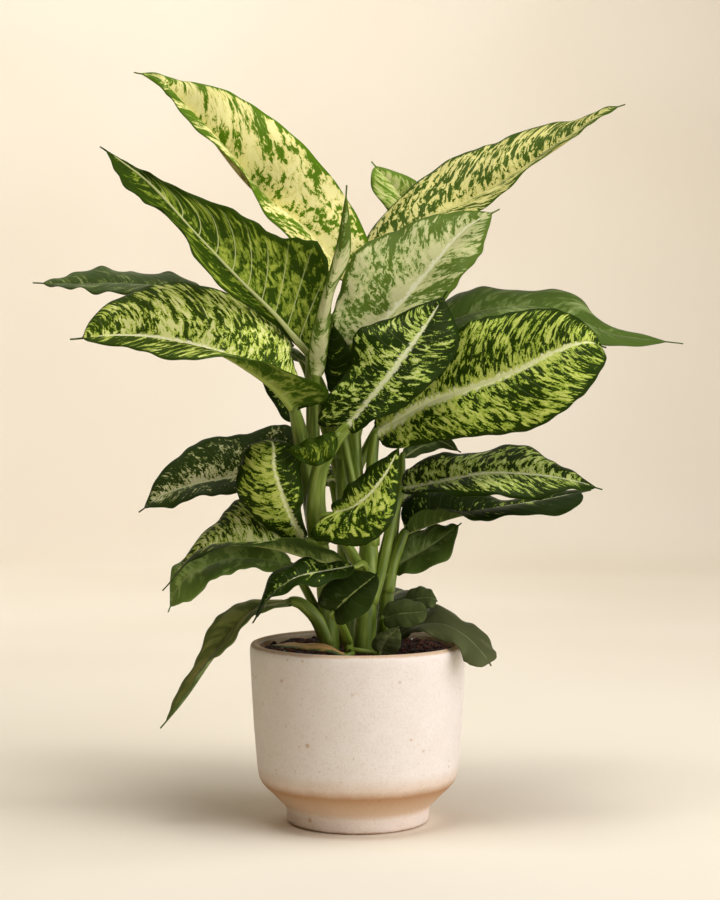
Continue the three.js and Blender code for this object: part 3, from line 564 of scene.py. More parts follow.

# Tones of a blade's upper face, from dark to pale and then its rib, the same for its under face, and the
# marks of each. The upper ribs of the lime, sunlit, dark and pale kinds are painted paler than their own
# tone, as painted light against the shade in the groove over the rib.
TONES = {
    "cream": (
        ("#50700f", "#74902a", "#dbd384", "#e7e09a", "#d6d190"),
        ("#6b7026", "#86843a", "#a89f4c", "#c0b76c", "#b8b070"),
        "blotches", "blotches",
    ),
    "spotted": (
        ("#3b520e", "#5d7420", "#cdc878", "#dbd58c", "#c6c47c"),
        ("#647026", "#82823a", "#a8a04c", "#bcb46a", "#b8b070"),
        "spots", "blotches",
    ),
    "pale": (
        ("#546a22", "#7c904e", "#b2b87a", "#c6c692", "#dadab6"),
        ("#5f6e2e", "#828c4c", "#a9ac72", "#bdbc8a", "#c4c298"),
        "blotches", "blotches",
    ),
    "sprout": (
        ("#64802a", "#789636", "#a6b65e", "#c4c884", "#a6b268"),
        ("#607c2c", "#789240", "#a8b264", "#c2c686", "#a6b06c"),
        "mottles", "mottles",
    ),
    "lime": (
        ("#213304", "#4c6615", "#9aad40", "#c0ca66", "#dde2a6"),
        ("#3c5210", "#52681c", "#7a8c38", "#9aa65c", "#a2a858"),
        "flames", "clouds",
    ),
    # The lime tones painted lighter: a lit copy of them, as painted light.
    "sunlit": (
        ("#32460a", "#6a8220", "#bccb58", "#e4e798", "#f6f4c6"),
        ("#3c5610", "#587220", "#8c9c44", "#a8b266", "#aabb5e"),
        "flames", "clouds",
    ),
    "dark": (
        ("#1d2e05", "#445a16", "#9cb04a", "#c6cf80", "#d8dcae"),
        ("#3a4a1c", "#4a5a24", "#6c7a3a", "#8e9860", "#98a068"),
        "flames", "clouds",
    ),
    "fleck": (
        ("#31421a", "#5a6c2e", "#c0c486", "#e2e0b8", "#dadcae"),
        ("#425026", "#50602e", "#6c7a44", "#8e9860", "#949c68"),
        "flecks", "clouds",
    ),
    "plain": (
        ("#4c6126", "#5f7234", "#6f8246", "#8a9a5e", "#8a985e"),
        ("#4a5c32", "#55663a", "#6a7c48", "#8a9660", "#929c68"),
        "clouds", "clouds",
    ),
    # Its light mottles, on the under face that the upper left leaf shows, are partly the leaf's own marks and
    # partly painted light shining through the blade.
    "olive": (
        ("#2c4006", "#485c0e", "#74862a", "#98a43e", "#b4b97a"),
        ("#2c4006", "#485c0e", "#74862a", "#98a43e", "#b4b97a"),
        "mottles", "mottles",
    ),
    "grey": (
        ("#44562a", "#586a32", "#78884a", "#a4ae74", "#8c985c"),
        ("#46562c", "#526236", "#6a7a46", "#8e9860", "#949c68"),
        "flames", "clouds",
    ),
    # Its light and pale tones are painted lighter, as painted light for leaves that lie in shade.
    "meadow": (
        ("#2e3f12", "#5a7420", "#b2c456", "#e0e49c", "#dadfa2"),
        ("#445824", "#52662c", "#6c7e3e", "#8e9a58", "#98a260"),
        "flames", "clouds",
    ),
    # All its tones are painted lighter, as painted light for a leaf that hangs in the shade of those above
    # it.
    "leathery_painted_lighter": (
        ("#6e7a3e", "#86924e", "#9ca25a", "#b6b472", "#b0ac78"),
        ("#4e6030", "#5e6e42", "#788654", "#98a26c", "#a0a874"),
        "smooth", "smooth",
    ),
    "deep": (
        ("#26340f", "#384823", "#4a5a36", "#64724a", "#9aa860"),
        ("#34401e", "#3e4a26", "#525e36", "#768050", "#7a8454"),
        "clouds", "clouds",
    ),
    "worn": (
        ("#555a38", "#646746", "#747654", "#888a66", "#808260"),
        ("#464c28", "#525632", "#666a44", "#848660", "#848660"),
        "smooth", "smooth",
    ),
    # The plain tones painted lighter: a lit copy of them, as painted light for a leaf that lies in shade.
    "plain_painted_lighter": (
        ("#728c40", "#88a452", "#a4be66", "#bccb80", "#b4c67a"),
        ("#5a7034", "#6a803e", "#7c9250", "#98a668", "#98a668"),
        "clouds", "clouds",
    ),
    "dusky": (
        ("#515d34", "#606f40", "#707c4e", "#86925e", "#88945e"),
        ("#46562c", "#526236", "#6a7a46", "#8e9860", "#949c68"),
        "smooth", "smooth",
    ),
    "faded": (
        ("#4c5a38", "#74703e", "#a4884e", "#c29a62", "#a8905a"),
        ("#5a6238", "#7a6e40", "#a0844e", "#b8925e", "#a8905a"),
        "clouds", "clouds",
    ),
}

# How strongly the side veins show pale on the under face, and on the upper.
UNDER_VEINS = 0.25
UNDER_VEINS_OF_KIND = {"olive": 0.85}
UPPER_VEINS = 0.06

# Stalk tones from dark to pale, beyond the stalks' own streaks: the dark end is deepened as painted shade
# among the leaves and the pale end raised as painted highlights.
STALK_TONES = ("#4e6216", "#70862a", "#a2b254")

# How fine the patterns on the blades are, in cells for each mm.
MARK_CELLS = 0.8  # of the streaks' and islands' own sizes
EDGE_GRIT_CELLS = 0.75  # about 1.3 mm
TONE_CELLS = 0.025  # 40 mm
SKIN_CELLS = 0.7  # about 1.4 mm. The skin's own cells are too fine to show

# How fine the patterns in the clay, the soil and the backdrop are, in cells for each metre.
CLAY_CLOUD_CELLS = 45  # about 22 mm
CLAY_FRECKLE_CELLS = 420  # about 2.4 mm
CLAY_GRIT_CELLS = 700  # about 1.4 mm. The clay's own grit, under 0.5 mm, is too fine to show
CLAY_STAIN_CELLS = 60  # about 17 mm
SPECK_EDGE_CELLS = 500  # 2 mm
SPECK_EDGE_SHIFT = 0.0016  # m
SOIL_CELLS = 330  # about 3 mm
BACKDROP_CELLS = 1.5  # about 0.7 m

# Iron specks in the pot's clay, one kind a row: size of the cells that hold them in m, half width as a
# share of a cell, how rare they are, and their colour and strength.
SPECKS = (
    (0.021, 0.115, 0.1, "#bd8f5e", 0.68),
    (0.012, 0.13, 0.4, "#c69f72", 0.6),
    (0.0055, 0.16, 0.6, "#cfb294", 0.5),
)

# How the clay's tone changes up the pot: the height, as a share of the way between the two heights in m, and
# the colour that the clay is multiplied by. White leaves it as it is. The brown band on the slope over the
# foot is darkest just under the belly's edge. It is mostly painted shade with painted warm bounced light,
# over bare clay that is a little browner there.
POT_BAND_HEIGHTS = (0.002, 0.172)
POT_BAND_SHIFT = 0.004  # m, how far the bands' edges wander
POT_BANDS = (
    (0.0, "#b98a5c"), (0.016, "#fdf8f3"), (0.075, "#fdf8f3"), (0.11, "#e6d2bc"), (0.215, "#bf9a76"),
    (0.262, "#f2e6da"), (0.33, "#ffffff"), (0.958, "#ffffff"), (0.97, "#dcc09e"), (0.982, "#f4e8da"),
)

# Tones of the soil's own mix and of its loose crumbs, from dark to pale.
MIX_TONES = ("#1a0b06", "#38190f", "#5a2e1e", "#7f4d38")
BARK_TONES = ("#38190d", "#5c2e1c", "#84482e", "#a86c48")
PERLITE_TONES = ("#b7a892", "#cfc3b0", "#ded5c6", "#e8e1d5")

# The pot's section as radius and height, from the middle of the base round the rim to the floor inside.
POT_SECTION = [
    (0, 0), (40, 0), (60, 0), (63.5, 0.4), (65.2, 1.8), (65.9, 4), (66.1, 8), (66.4, 12), (67.6, 15),
    (70, 17.8), (74, 21.8), (80, 28), (85.5, 33.4), (89.2, 37.6), (91.4, 41.6), (92.6, 47), (93.4, 54),
    (94.4, 65), (95.6, 80), (96.7, 95), (97.8, 115), (98.9, 137), (99.8, 155), (99.9, 160), (99.4, 163.4),
    (98.2, 165.3), (96.4, 166), (94.2, 165.9), (92.4, 164.9), (91.3, 163), (90.7, 158), (89.4, 130),
    (88, 100), (85, 54), (80, 42), (60, 22), (50, 12), (0, 10),
]
POT_LIP_END = (91.3, 163)  # where the finished lip ends and the bare inside starts

# The soil's section below its loose top, from the middle of its base out to the edge of the top.
SOIL_SECTION = [(0, 10.6), (49.5, 12.6), (59.4, 22.6), (79.4, 42.6), (84.4, 54), (87.4, 100), (89.8, 155)]


def linear(hex_colour):
    """An sRGB hex colour as linear RGBA."""
    parts = [int(hex_colour[i : i + 2], 16) / 255 for i in (1, 3, 5)]
    return tuple(p / 12.92 if p <= 0.04045 else ((p + 0.055) / 1.055) ** 2.4 for p in parts) + (1.0,)


def fill_sockets(tree, node, sockets):
    """Links each socket named to an output, or sets it to a value."""
    for socket, value in sockets.items():
        if isinstance(value, bpy.types.NodeSocket):
            tree.links.new(value, node.inputs[socket])
        else:
            node.inputs[socket].default_value = value


def add_node(tree, kind, sockets, out=0, stops=(), **settings):
    """Adds a node with its settings, links, values and colour stops, and returns one of its outputs.

    A Map Range's sockets 1 to 4 are the two ends of its range in and of its range out. The sockets 0, 6
    and 7 of a colour Mix are its share and its two colours.
    """
    made = tree.nodes.new(kind)
    for name, value in settings.items():
        setattr(made, name, value)
    for _ in stops[2:]:
        made.color_ramp.elements.new(0.5)
    for number, (place, hex_colour) in enumerate(stops):
        made.color_ramp.elements[number].position = place
        made.color_ramp.elements[number].color = linear(hex_colour)
    fill_sockets(tree, made, sockets)
    return made.outputs[out]


def new_material(name):
    """An empty material, its node tree and its shader."""
    material = bpy.data.materials.new(name)
    material.use_nodes = True
    return material, material.node_tree, material.node_tree.nodes["Principled BSDF"]


def place_in_scene(name, data):
    """A new object in the scene that holds a mesh, a lamp or a camera."""
    made = bpy.data.objects.new(name, data)
    bpy.context.scene.collection.objects.link(made)
    return made


def make_piece(name, points, faces, materials, body="root"):
    """A smooth mesh piece from points in mm, riding on a body of the frame."""
    mesh = bpy.data.meshes.new(name)
    mesh.from_pydata((np.asarray(points) * MM).tolist(), [], faces)
    mesh.shade_smooth()
    for material in materials:
        mesh.materials.append(material)
    piece = place_in_scene(name, mesh)
    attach(piece, body)
    return piece


def paint(piece, layer, values):
    """Writes one pair of numbers for each vertex into a UV layer."""
    mesh = piece.data
    corners = np.empty(len(mesh.loops), np.int32)
    mesh.loops.foreach_get("vertex_index", corners)
    uv = mesh.uv_layers.new(name=layer)
    uv.data.foreach_set("uv", np.asarray(values, np.float32)[corners].ravel())


def unit(v):
    """Vectors of length 1 with the same directions."""
    return v / np.maximum(np.linalg.norm(v, axis=-1, keepdims=True), 1e-9)


def dot(a, b):
    """The dot product of each pair of vectors."""
    return np.sum(a * b, axis=-1, keepdims=True)


def ease(low, high, x):
    """0 below low, 1 above high, smooth between."""
    s = np.clip((np.asarray(x, float) - low) / (high - low), 0, 1)
    return s * s * (3 - 2 * s)


def curve(points, t):
    """Points and directions on the smooth curve through the given points, for t from 0 to 1."""
    p = np.array(points, float)
    p = np.vstack([2 * p[0] - p[1], p, 2 * p[-1] - p[-2]])
    spans = len(points) - 1
    x = np.clip(np.asarray(t, float), 0, 1) * spans
    i = np.minimum(x.astype(int), spans - 1)
    w = (x - i)[..., None]
    a, b, c, d = p[i], p[i + 1], p[i + 2], p[i + 3]
    t0, t1 = 0.5 * (c - a), 0.5 * (d - b)
    k2, k3 = -3 * b + 3 * c - 2 * t0 - t1, 2 * b - 2 * c + t0 + t1
    place = b + t0 * w + k2 * w**2 + k3 * w**3
    slope = t0 + 2 * k2 * w + 3 * k3 * w**2
    return place, unit(slope)


def curve_length(points):
    """The length of the smooth curve through the given points."""
    places = curve(points, np.linspace(0, 1, 60))[0]
    return float(np.linalg.norm(np.diff(places, axis=0), axis=1).sum())


def outline(u, point):
    """How wide the blade is along the rib, as a share of its margin's distance."""
    s = np.minimum(np.asarray(u, float) / OUTLINE_END, 1)
    widest = BASE_FULLNESS / (BASE_FULLNESS + point)
    return s**BASE_FULLNESS * (1 - s) ** point / (widest**BASE_FULLNESS * (1 - widest) ** point)


def side_curve(rib, margin, point, u):
    """The vectors from rib to margin at each u, before the outline narrows them."""
    spans = len(rib) - 1
    inner = []
    for i, m in enumerate(margin):
        inner.append((np.array(m, float) - np.array(rib[i + 1])) / outline((i + 1) / spans, point))
    first = inner[0] if len(inner) == 1 else 1.4 * inner[0] - 0.4 * inner[1]
    return curve([first, *inner, inner[-1]], u)[0]


def blade_sheet(leaf, look, seed, stalk_radius):
    """The blade's middle surface as a grid: rows follow the side veins, columns run from stalk to tip.

    For each point of the grid, u is its place along the rib, v its place from margin to margin, reach how
    far out from the rib it lies, all as shares, and width how wide the blade is there in mm.
    """
    point, wave = leaf.get("point", TIP_POINT), leaf.get("wave", WAVE)
    ruffle = look.get("ruffle", SMALL_RUFFLE if leaf.get("small") else RUFFLE)
    veins = max(FEWEST_VEINS, round(curve_length(leaf["rib"]) / look.get("spacing", VEIN_SPACING)))
    rows = np.array([(k + part) / veins for k in range(veins) for part in VEIN_ROWS] + [1.0])
    half = np.linspace(0, 1, BLADE_COLUMNS + 1) ** COLUMN_CROWDING
    x, v = np.meshgrid(rows, np.concatenate([-half[:0:-1], half]), indexing="ij")
    reach, side = np.abs(v), np.where(v < 0, 0.0, 1.0)
    u = x + look.get("sweep", VEIN_SWEEP) * reach**1.8 * x * (1 - x)

    centre, aim = curve(leaf["rib"], u)
    left = side_curve(leaf["rib"], leaf["left"], point, u)
    right = side_curve(leaf["rib"], leaf["right"], point, u)
    spread = np.where(v[..., None] < 0, left, right)
    out = unit(spread)
    up = unit(np.cross(out, aim)) * np.where(v[..., None] < 0, -1.0, 1.0)
    flat = unit(out - aim * dot(out, aim))
    width = outline(u, point) * np.linalg.norm(spread, axis=-1)
    foot = TIP_HALF_WIDTH + (stalk_radius - TIP_HALF_WIDTH) * (1 - u) ** 10

    # The seed shifts the waves, so no two margins ripple alike. They calm down at the stalk and the tip.
    calm = np.minimum(5 * u, 1) * np.minimum(4 * (1 - u), 1)
    turn = 2 * np.pi * u
    scallop = 1 + SCALLOP * ruffle * reach**4 * np.sin(SCALLOPS * turn + 2.3 * seed + 2 * side)
    ripple = wave * reach**2 * np.sin(WAVES * turn + 1.9 * side + 1.7 * seed)
    ripple += ruffle * reach**5 * np.sin(RUFFLES * turn + 3.1 * side + 2.9 * seed)
    arch = ARCH * reach * (1 - reach) * width
    middle = centre + out * (width * reach * scallop)[..., None] + flat * (foot * reach)[..., None]
    middle = middle + up * (arch + ripple * calm)[..., None]
    from_rib = (width + foot) * reach
    return SimpleNamespace(
        middle=middle, u=u, v=v, reach=reach, width=width, from_rib=from_rib, calm=calm, phase=x * veins
    )


def blade_faces(n_rows, n_cols):
    """The faces of the upper grid, then of the under grid, then of the wall round the margin."""
    under = n_rows * n_cols
    grid = np.arange(under).reshape(n_rows, n_cols)
    a, b, c, d = grid[:-1, :-1], grid[:-1, 1:], grid[1:, 1:], grid[1:, :-1]
    top_faces = np.stack([a, b, c, d], -1).reshape(-1, 4)
    under_faces = np.stack([a, d, c, b], -1).reshape(-1, 4) + under
    edge = np.concatenate([grid[0, :], grid[1:, -1], grid[-1, -2::-1], grid[-2:0:-1, 0]])
    after = np.roll(edge, -1)
    walls = np.stack([edge, edge + under, after + under, after], -1)
    return top_faces, np.concatenate([under_faces, walls])


def blade_solid(sheet, relief, stalk_radius):
    """The points of the upper and the under face: a thin blade, creased over a round rib, that swells to
    the round end of its stalk, with raised side veins below that are sunk above."""
    u, from_rib = sheet.u, sheet.from_rib
    up = unit(np.cross(np.gradient(sheet.middle, axis=1), np.gradient(sheet.middle, axis=0)))
    rib_radius = (stalk_radius - RIB_TIP_RADIUS) * (1 - u) ** 1.3 + RIB_TIP_RADIUS
    rib_below = RIB_ROUND * np.sqrt(np.maximum(rib_radius**2 - from_rib**2, 0))
    end = (1 - u) ** 18
    end_round = np.sqrt(np.maximum(stalk_radius**2 - from_rib**2, 0))
    off_vein = np.abs(sheet.phase - np.round(sheet.phase))
    vein = np.exp(-((off_vein / VEIN_WIDTH) ** 2)) * sheet.calm
    vein *= ease(0.02, 0.15, sheet.reach) * (1 - ease(0.75, 0.98, sheet.reach))
    thin = HALF_THICKNESS - MARGIN_THINNING * sheet.reach**3
    crease = CREASE_DEPTH * np.exp(-((from_rib / CREASE_WIDTH) ** 2)) * (1 - u) * (1 - end)
    top = (1 - end) * (thin - crease - relief * vein) + end * end_round
    below = (1 - end) * (thin + rib_below + VEIN_BELOW * relief * vein) + end * end_round
    upper = sheet.middle + up * top[..., None]
    under = sheet.middle - up * below[..., None]
    return np.concatenate([upper.reshape(-1, 3), under.reshape(-1, 3)])


def paint_blade(piece, sheet, look, seed):
    """Writes what the finish reads, into three layers.

    veins: the place along the side veins' row and out from the rib, in mm. look: how light the blade is,
    and how far out the place is in widths of the pale rib. span: the plain place on the blade.
    """
    u, v = sheet.u, sheet.v
    light = np.where(v < 0, *look["light"])
    from_margin = (1 - sheet.reach) * sheet.width
    light = light - MARGIN_SHADE * (1 - ease(0, look.get("margin", MARGIN_WIDTH), from_margin))
    light = light - look.get("tip", TIP_SHADE) * ease(0.6, 1.0, u)
    glow, glow_width = look.get("glow", RIB_GLOW)
    light = light + glow * np.exp(-((sheet.from_rib / glow_width) ** 2))
    rib_width = look["rib"] * (1 - u) ** 0.9 + RIB_EDGE
    rib_share = sheet.from_rib / rib_width + RIB_FADE * ease(0.88, 0.98, u)
    if not look["rib"]:
        rib_share = rib_share + NO_RIB
    vein_place = np.where(v > 0, 1.0, v) if look.get("plain_side") else v
    for layer, pair in (
        ("veins", (sheet.phase * VEIN_SPACING + LEAF_SHIFT * seed, sheet.from_rib * np.sign(v))),
        ("look", (light, rib_share)),
        ("span", (u, vein_place)),
    ):
        pairs = np.stack(pair, -1).reshape(-1, 2)
        paint(piece, layer, np.concatenate([pairs, pairs]))


def make_leaf(name, seed, stalk_radius, materials):
    """One blade as a closed mesh whose rows of faces follow its side veins."""
    look = LOOKS[name]
    sheet = blade_sheet(LEAVES[name], look, seed, stalk_radius)
    points = blade_solid(sheet, look.get("veins", VEIN_HEIGHT), stalk_radius)
    top_faces, other_faces = blade_faces(*sheet.u.shape)
    faces = np.concatenate([top_faces, other_faces]).tolist()
    piece = make_piece("blade_" + name, points, faces, materials)
    piece.data.polygons.foreach_set("material_index", [0] * len(top_faces) + [1] * len(other_faces))
    paint_blade(piece, sheet, look, seed)
    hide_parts("leaf_" + name)


def tube(points, radius_at, flare_at=np.zeros_like):
    """A round tube through points: rings of vertices, faces, and the place along and round it in mm."""
    steps = max(6, round(curve_length(points) / STALK_STEP))
    t = np.linspace(0, 1, steps + 1)
    centre, aim = curve(points, t)
    run = np.concatenate([[0], np.cumsum(np.linalg.norm(np.diff(centre, axis=0), axis=1))])
    # The inner side faces back to the cane where the stalk stands, and up where it lies.
    lean = centre[-1] - centre[0]
    lean[2] = 0
    out = np.linalg.norm(lean)
    away = lean / out if out > LEAST_LEAN else np.array([0.0, -1.0, 0.0])
    facing = np.array([0.0, 0.0, 0.6]) - 0.8 * away
    inner = unit(facing - aim * dot(aim, facing))
    across = np.cross(inner, aim)
    angle = np.linspace(0, 2 * np.pi, STALK_SIDES, endpoint=False)
    # A leaf stalk is channelled on its inner side and winged where it clasps the cane.
    flare = flare_at(t)[:, None]
    from_middle = np.angle(np.exp(1j * (angle - np.pi / 2)))
    channel = CHANNEL_DEPTH * np.exp(-((from_middle / CHANNEL_WIDTH) ** 2))
    size = radius_at(t)[:, None] * (1 - channel[None, :] * (PLAIN_CHANNEL + flare))
    side = size * np.cos(angle)[None, :] * (1 + WING * flare)
    depth = size * np.sin(angle)[None, :]
    rings = centre[:, None, :] + across[:, None, :] * side[..., None] + inner[:, None, :] * depth[..., None]
    n = STALK_SIDES
    faces = []
    for i in range(steps):
        for k in range(n):
            j = (k + 1) % n
            faces.append((i * n + k, i * n + j, (i + 1) * n + j, (i + 1) * n + k))
    faces.append(tuple(range(n - 1, -1, -1)))
    faces.append(tuple(range(steps * n, steps * n + n)))
    round_it = np.broadcast_to(angle[None, :] * STREAK_WRAP, (steps + 1, n))
    place = np.stack([np.broadcast_to(run[:, None], (steps + 1, n)), round_it], -1)
    return rings.reshape(-1, 3), faces, place.reshape(-1, 2)


def clasp(t):
    """How strongly a stalk is winged: fully at the cane, and no more from five eighths of its length on."""
    return np.maximum(1 - 1.6 * t, 0) ** 1.5


def make_shoot(name, plan, material):
    """A cane with ringed leaf scars and the stalks that grow from it."""
    radii = np.array(plan["radius"], float)
    knots = np.linspace(0, 1, len(radii))
    height = curve_length(plan["cane"])

    def cane_radius(t):
        scars = np.exp(-(((t * height / SCAR_SPACING + 0.3) % 1 - 0.5) / 0.07) ** 2)
        return np.interp(t, knots, radii) * (1 + SCAR_HEIGHT * scars)

    parts = [tube(plan["cane"], cane_radius)]
    for leaf, (path, start, end) in plan["stalks"].items():
        # The stalk runs on into its blade's foot along the rib.
        foot = np.array(LEAVES[leaf]["rib"][0], float)
        aim = curve(LEAVES[leaf]["rib"], np.array([0.0]))[1][0]
        route = [*path, (foot - aim * 2.5).tolist(), (foot + aim * 1.0).tolist()]
        parts.append(tube(route, lambda t, s=start, e=end: s + (e - s) * np.minimum(t * 1.02, 1), clasp))
    points, faces, places, base = [], [], [], 0
    for number, (ring, quads, place) in enumerate(parts):
        points.append(ring)
        faces.extend(tuple(base + k for k in face) for face in quads)
        places.append(place + [STALK_SHIFT * number, 0])
        base += len(ring)
    piece = make_piece("stalks_" + name, np.concatenate(points), faces, [material])
    paint(piece, "skin", np.concatenate(places))
    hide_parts(name)


def lathe(section, sides, wobble=0.0):
    """Rings of vertices for a section turned about Z, with poles welded to single vertices."""
    points, faces, rings = [], [], []
    for r, z in section:
        if r == 0:
            rings.append([len(points)])
            points.append((0, 0, z))
            continue
        ring = []
        for k in range(sides):
            turn = 2 * math.pi * k / sides
            near = r * (1 + wobble * (math.sin(2 * turn + 1) + 0.6 * math.sin(5 * turn + z / 40)))
            ring.append(len(points))
            points.append((near * math.cos(turn), near * math.sin(turn), z))
        rings.append(ring)
    for low, high in zip(rings, rings[1:]):
        for k in range(sides):
            j = (k + 1) % sides
            if len(low) == 1:
                faces.append((low[0], high[j], high[k]))
            elif len(high) == 1:
                faces.append((low[k], low[j], high[0]))
            else:
                faces.append((low[k], low[j], high[j], high[k]))
    return points, faces


def make_pot(materials):
    """The pot, finished outside and over the lip, bare inside."""
    points, faces = lathe(POT_SECTION, POT_SIDES, POT_WOBBLE)
    piece = make_piece("stoneware_pot", points, faces, materials)
    outer = POT_SECTION.index(POT_LIP_END) * POT_SIDES
    piece.data.polygons.foreach_set("material_index", [0] * outer + [1] * (len(faces) - outer))
    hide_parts("pot")


def soil_height(x, y):
    """The height of the loose top: heaped a little at the canes and behind them, crumbled all over."""
    height = SOIL_TOP - SOIL_FALL * (math.hypot(x, y) / 90) ** 2 + SOIL_HEAP * float(ease(-20, 60, y))
    for tall, wide, start in SOIL_LUMPS:
        height += tall * noise.noise(Vector((x / wide, y / wide, start)))
    return height


def make_soil(material):
    """The soil: a turned body whose loose top is rings of crumbled ground."""
    points, faces = lathe(SOIL_SECTION, SOIL_SECTORS)
    last = list(range(len(points) - SOIL_SECTORS, len(points)))
    for r in np.linspace(*SOIL_RING_RADII, SOIL_RINGS):
        ring = []
        for k in range(SOIL_SECTORS):
            turn = 2 * math.pi * k / SOIL_SECTORS
            x, y = r * math.cos(turn), r * math.sin(turn)
            ring.append(len(points))
            points.append((x, y, soil_height(x, y)))
        for k in range(SOIL_SECTORS):
            j = (k + 1) % SOIL_SECTORS
            faces.append((last[k], last[j], ring[j], ring[k]))
        last = ring
    points.append((0, 0, soil_height(0, 0)))
    for k in range(SOIL_SECTORS):
        faces.append((last[k], last[(k + 1) % SOIL_SECTORS], len(points) - 1))
    piece = make_piece("potting_soil", points, faces, [material])
    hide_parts("soil")


def make_crumbs(materials):
    """Loose crumbs of peat, bark and perlite, half sunk in the top of the soil."""
    chance = random.Random(4)
    points, faces, kinds = [], [], []
    for number in range(CRUMBS):
        r = CRUMB_REACH * math.sqrt(chance.random())
        turn = chance.uniform(0, 2 * math.pi)
        x, y = r * math.cos(turn), r * math.sin(turn)
        kind = PERLITE if number % PERLITE_EVERY == 0 else BARK if number % BARK_EVERY == 0 else PEAT
        size = chance.uniform(*(PERLITE_SIZES if kind == PERLITE else CRUMB_SIZES))
        long = chance.uniform(*BARK_LENGTHS) if kind == BARK else 1.0
        facing = chance.uniform(0, math.pi)
        base = len(points)
        # A ring of uneven corners and one more on top, then the same ring again below the soil.
        for spoke in range(CRUMB_SIDES + 1):
            on_top = spoke == CRUMB_SIDES
            angle = 2 * math.pi * spoke / CRUMB_SIDES
            level = (1.1 if on_top else 0.55) * size
            reach = size * chance.uniform(0.8, 1.2) * (0.2 if on_top else 1)
            a, b = reach * long * math.cos(angle), reach * math.sin(angle)
            across = x + a * math.cos(facing) - b * math.sin(facing)
            deep = y + a * math.sin(facing) + b * math.cos(facing)
            points.append((across, deep, soil_height(x, y) + level * chance.uniform(0.6, 1.1)))
        for spoke in range(CRUMB_SIDES):
            low = points[base + spoke]
            points.append((low[0], low[1], low[2] - 1.6 * size))
        top, below = base + CRUMB_SIDES, base + CRUMB_SIDES + 1
        for spoke in range(CRUMB_SIDES):
            after = (spoke + 1) % CRUMB_SIDES
            faces.append((base + spoke, base + after, top))
            faces.append((below + spoke, below + after, base + after, base + spoke))
        faces.append(tuple(below + spoke for spoke in range(CRUMB_SIDES - 1, -1, -1)))
        kinds += [kind] * (2 * CRUMB_SIDES + 1)
    piece = make_piece("loose_crumbs", points, faces, materials)
    piece.data.polygons.foreach_set("material_index", kinds)
    piece.data.polygons.foreach_set("use_smooth", [False] * len(faces))


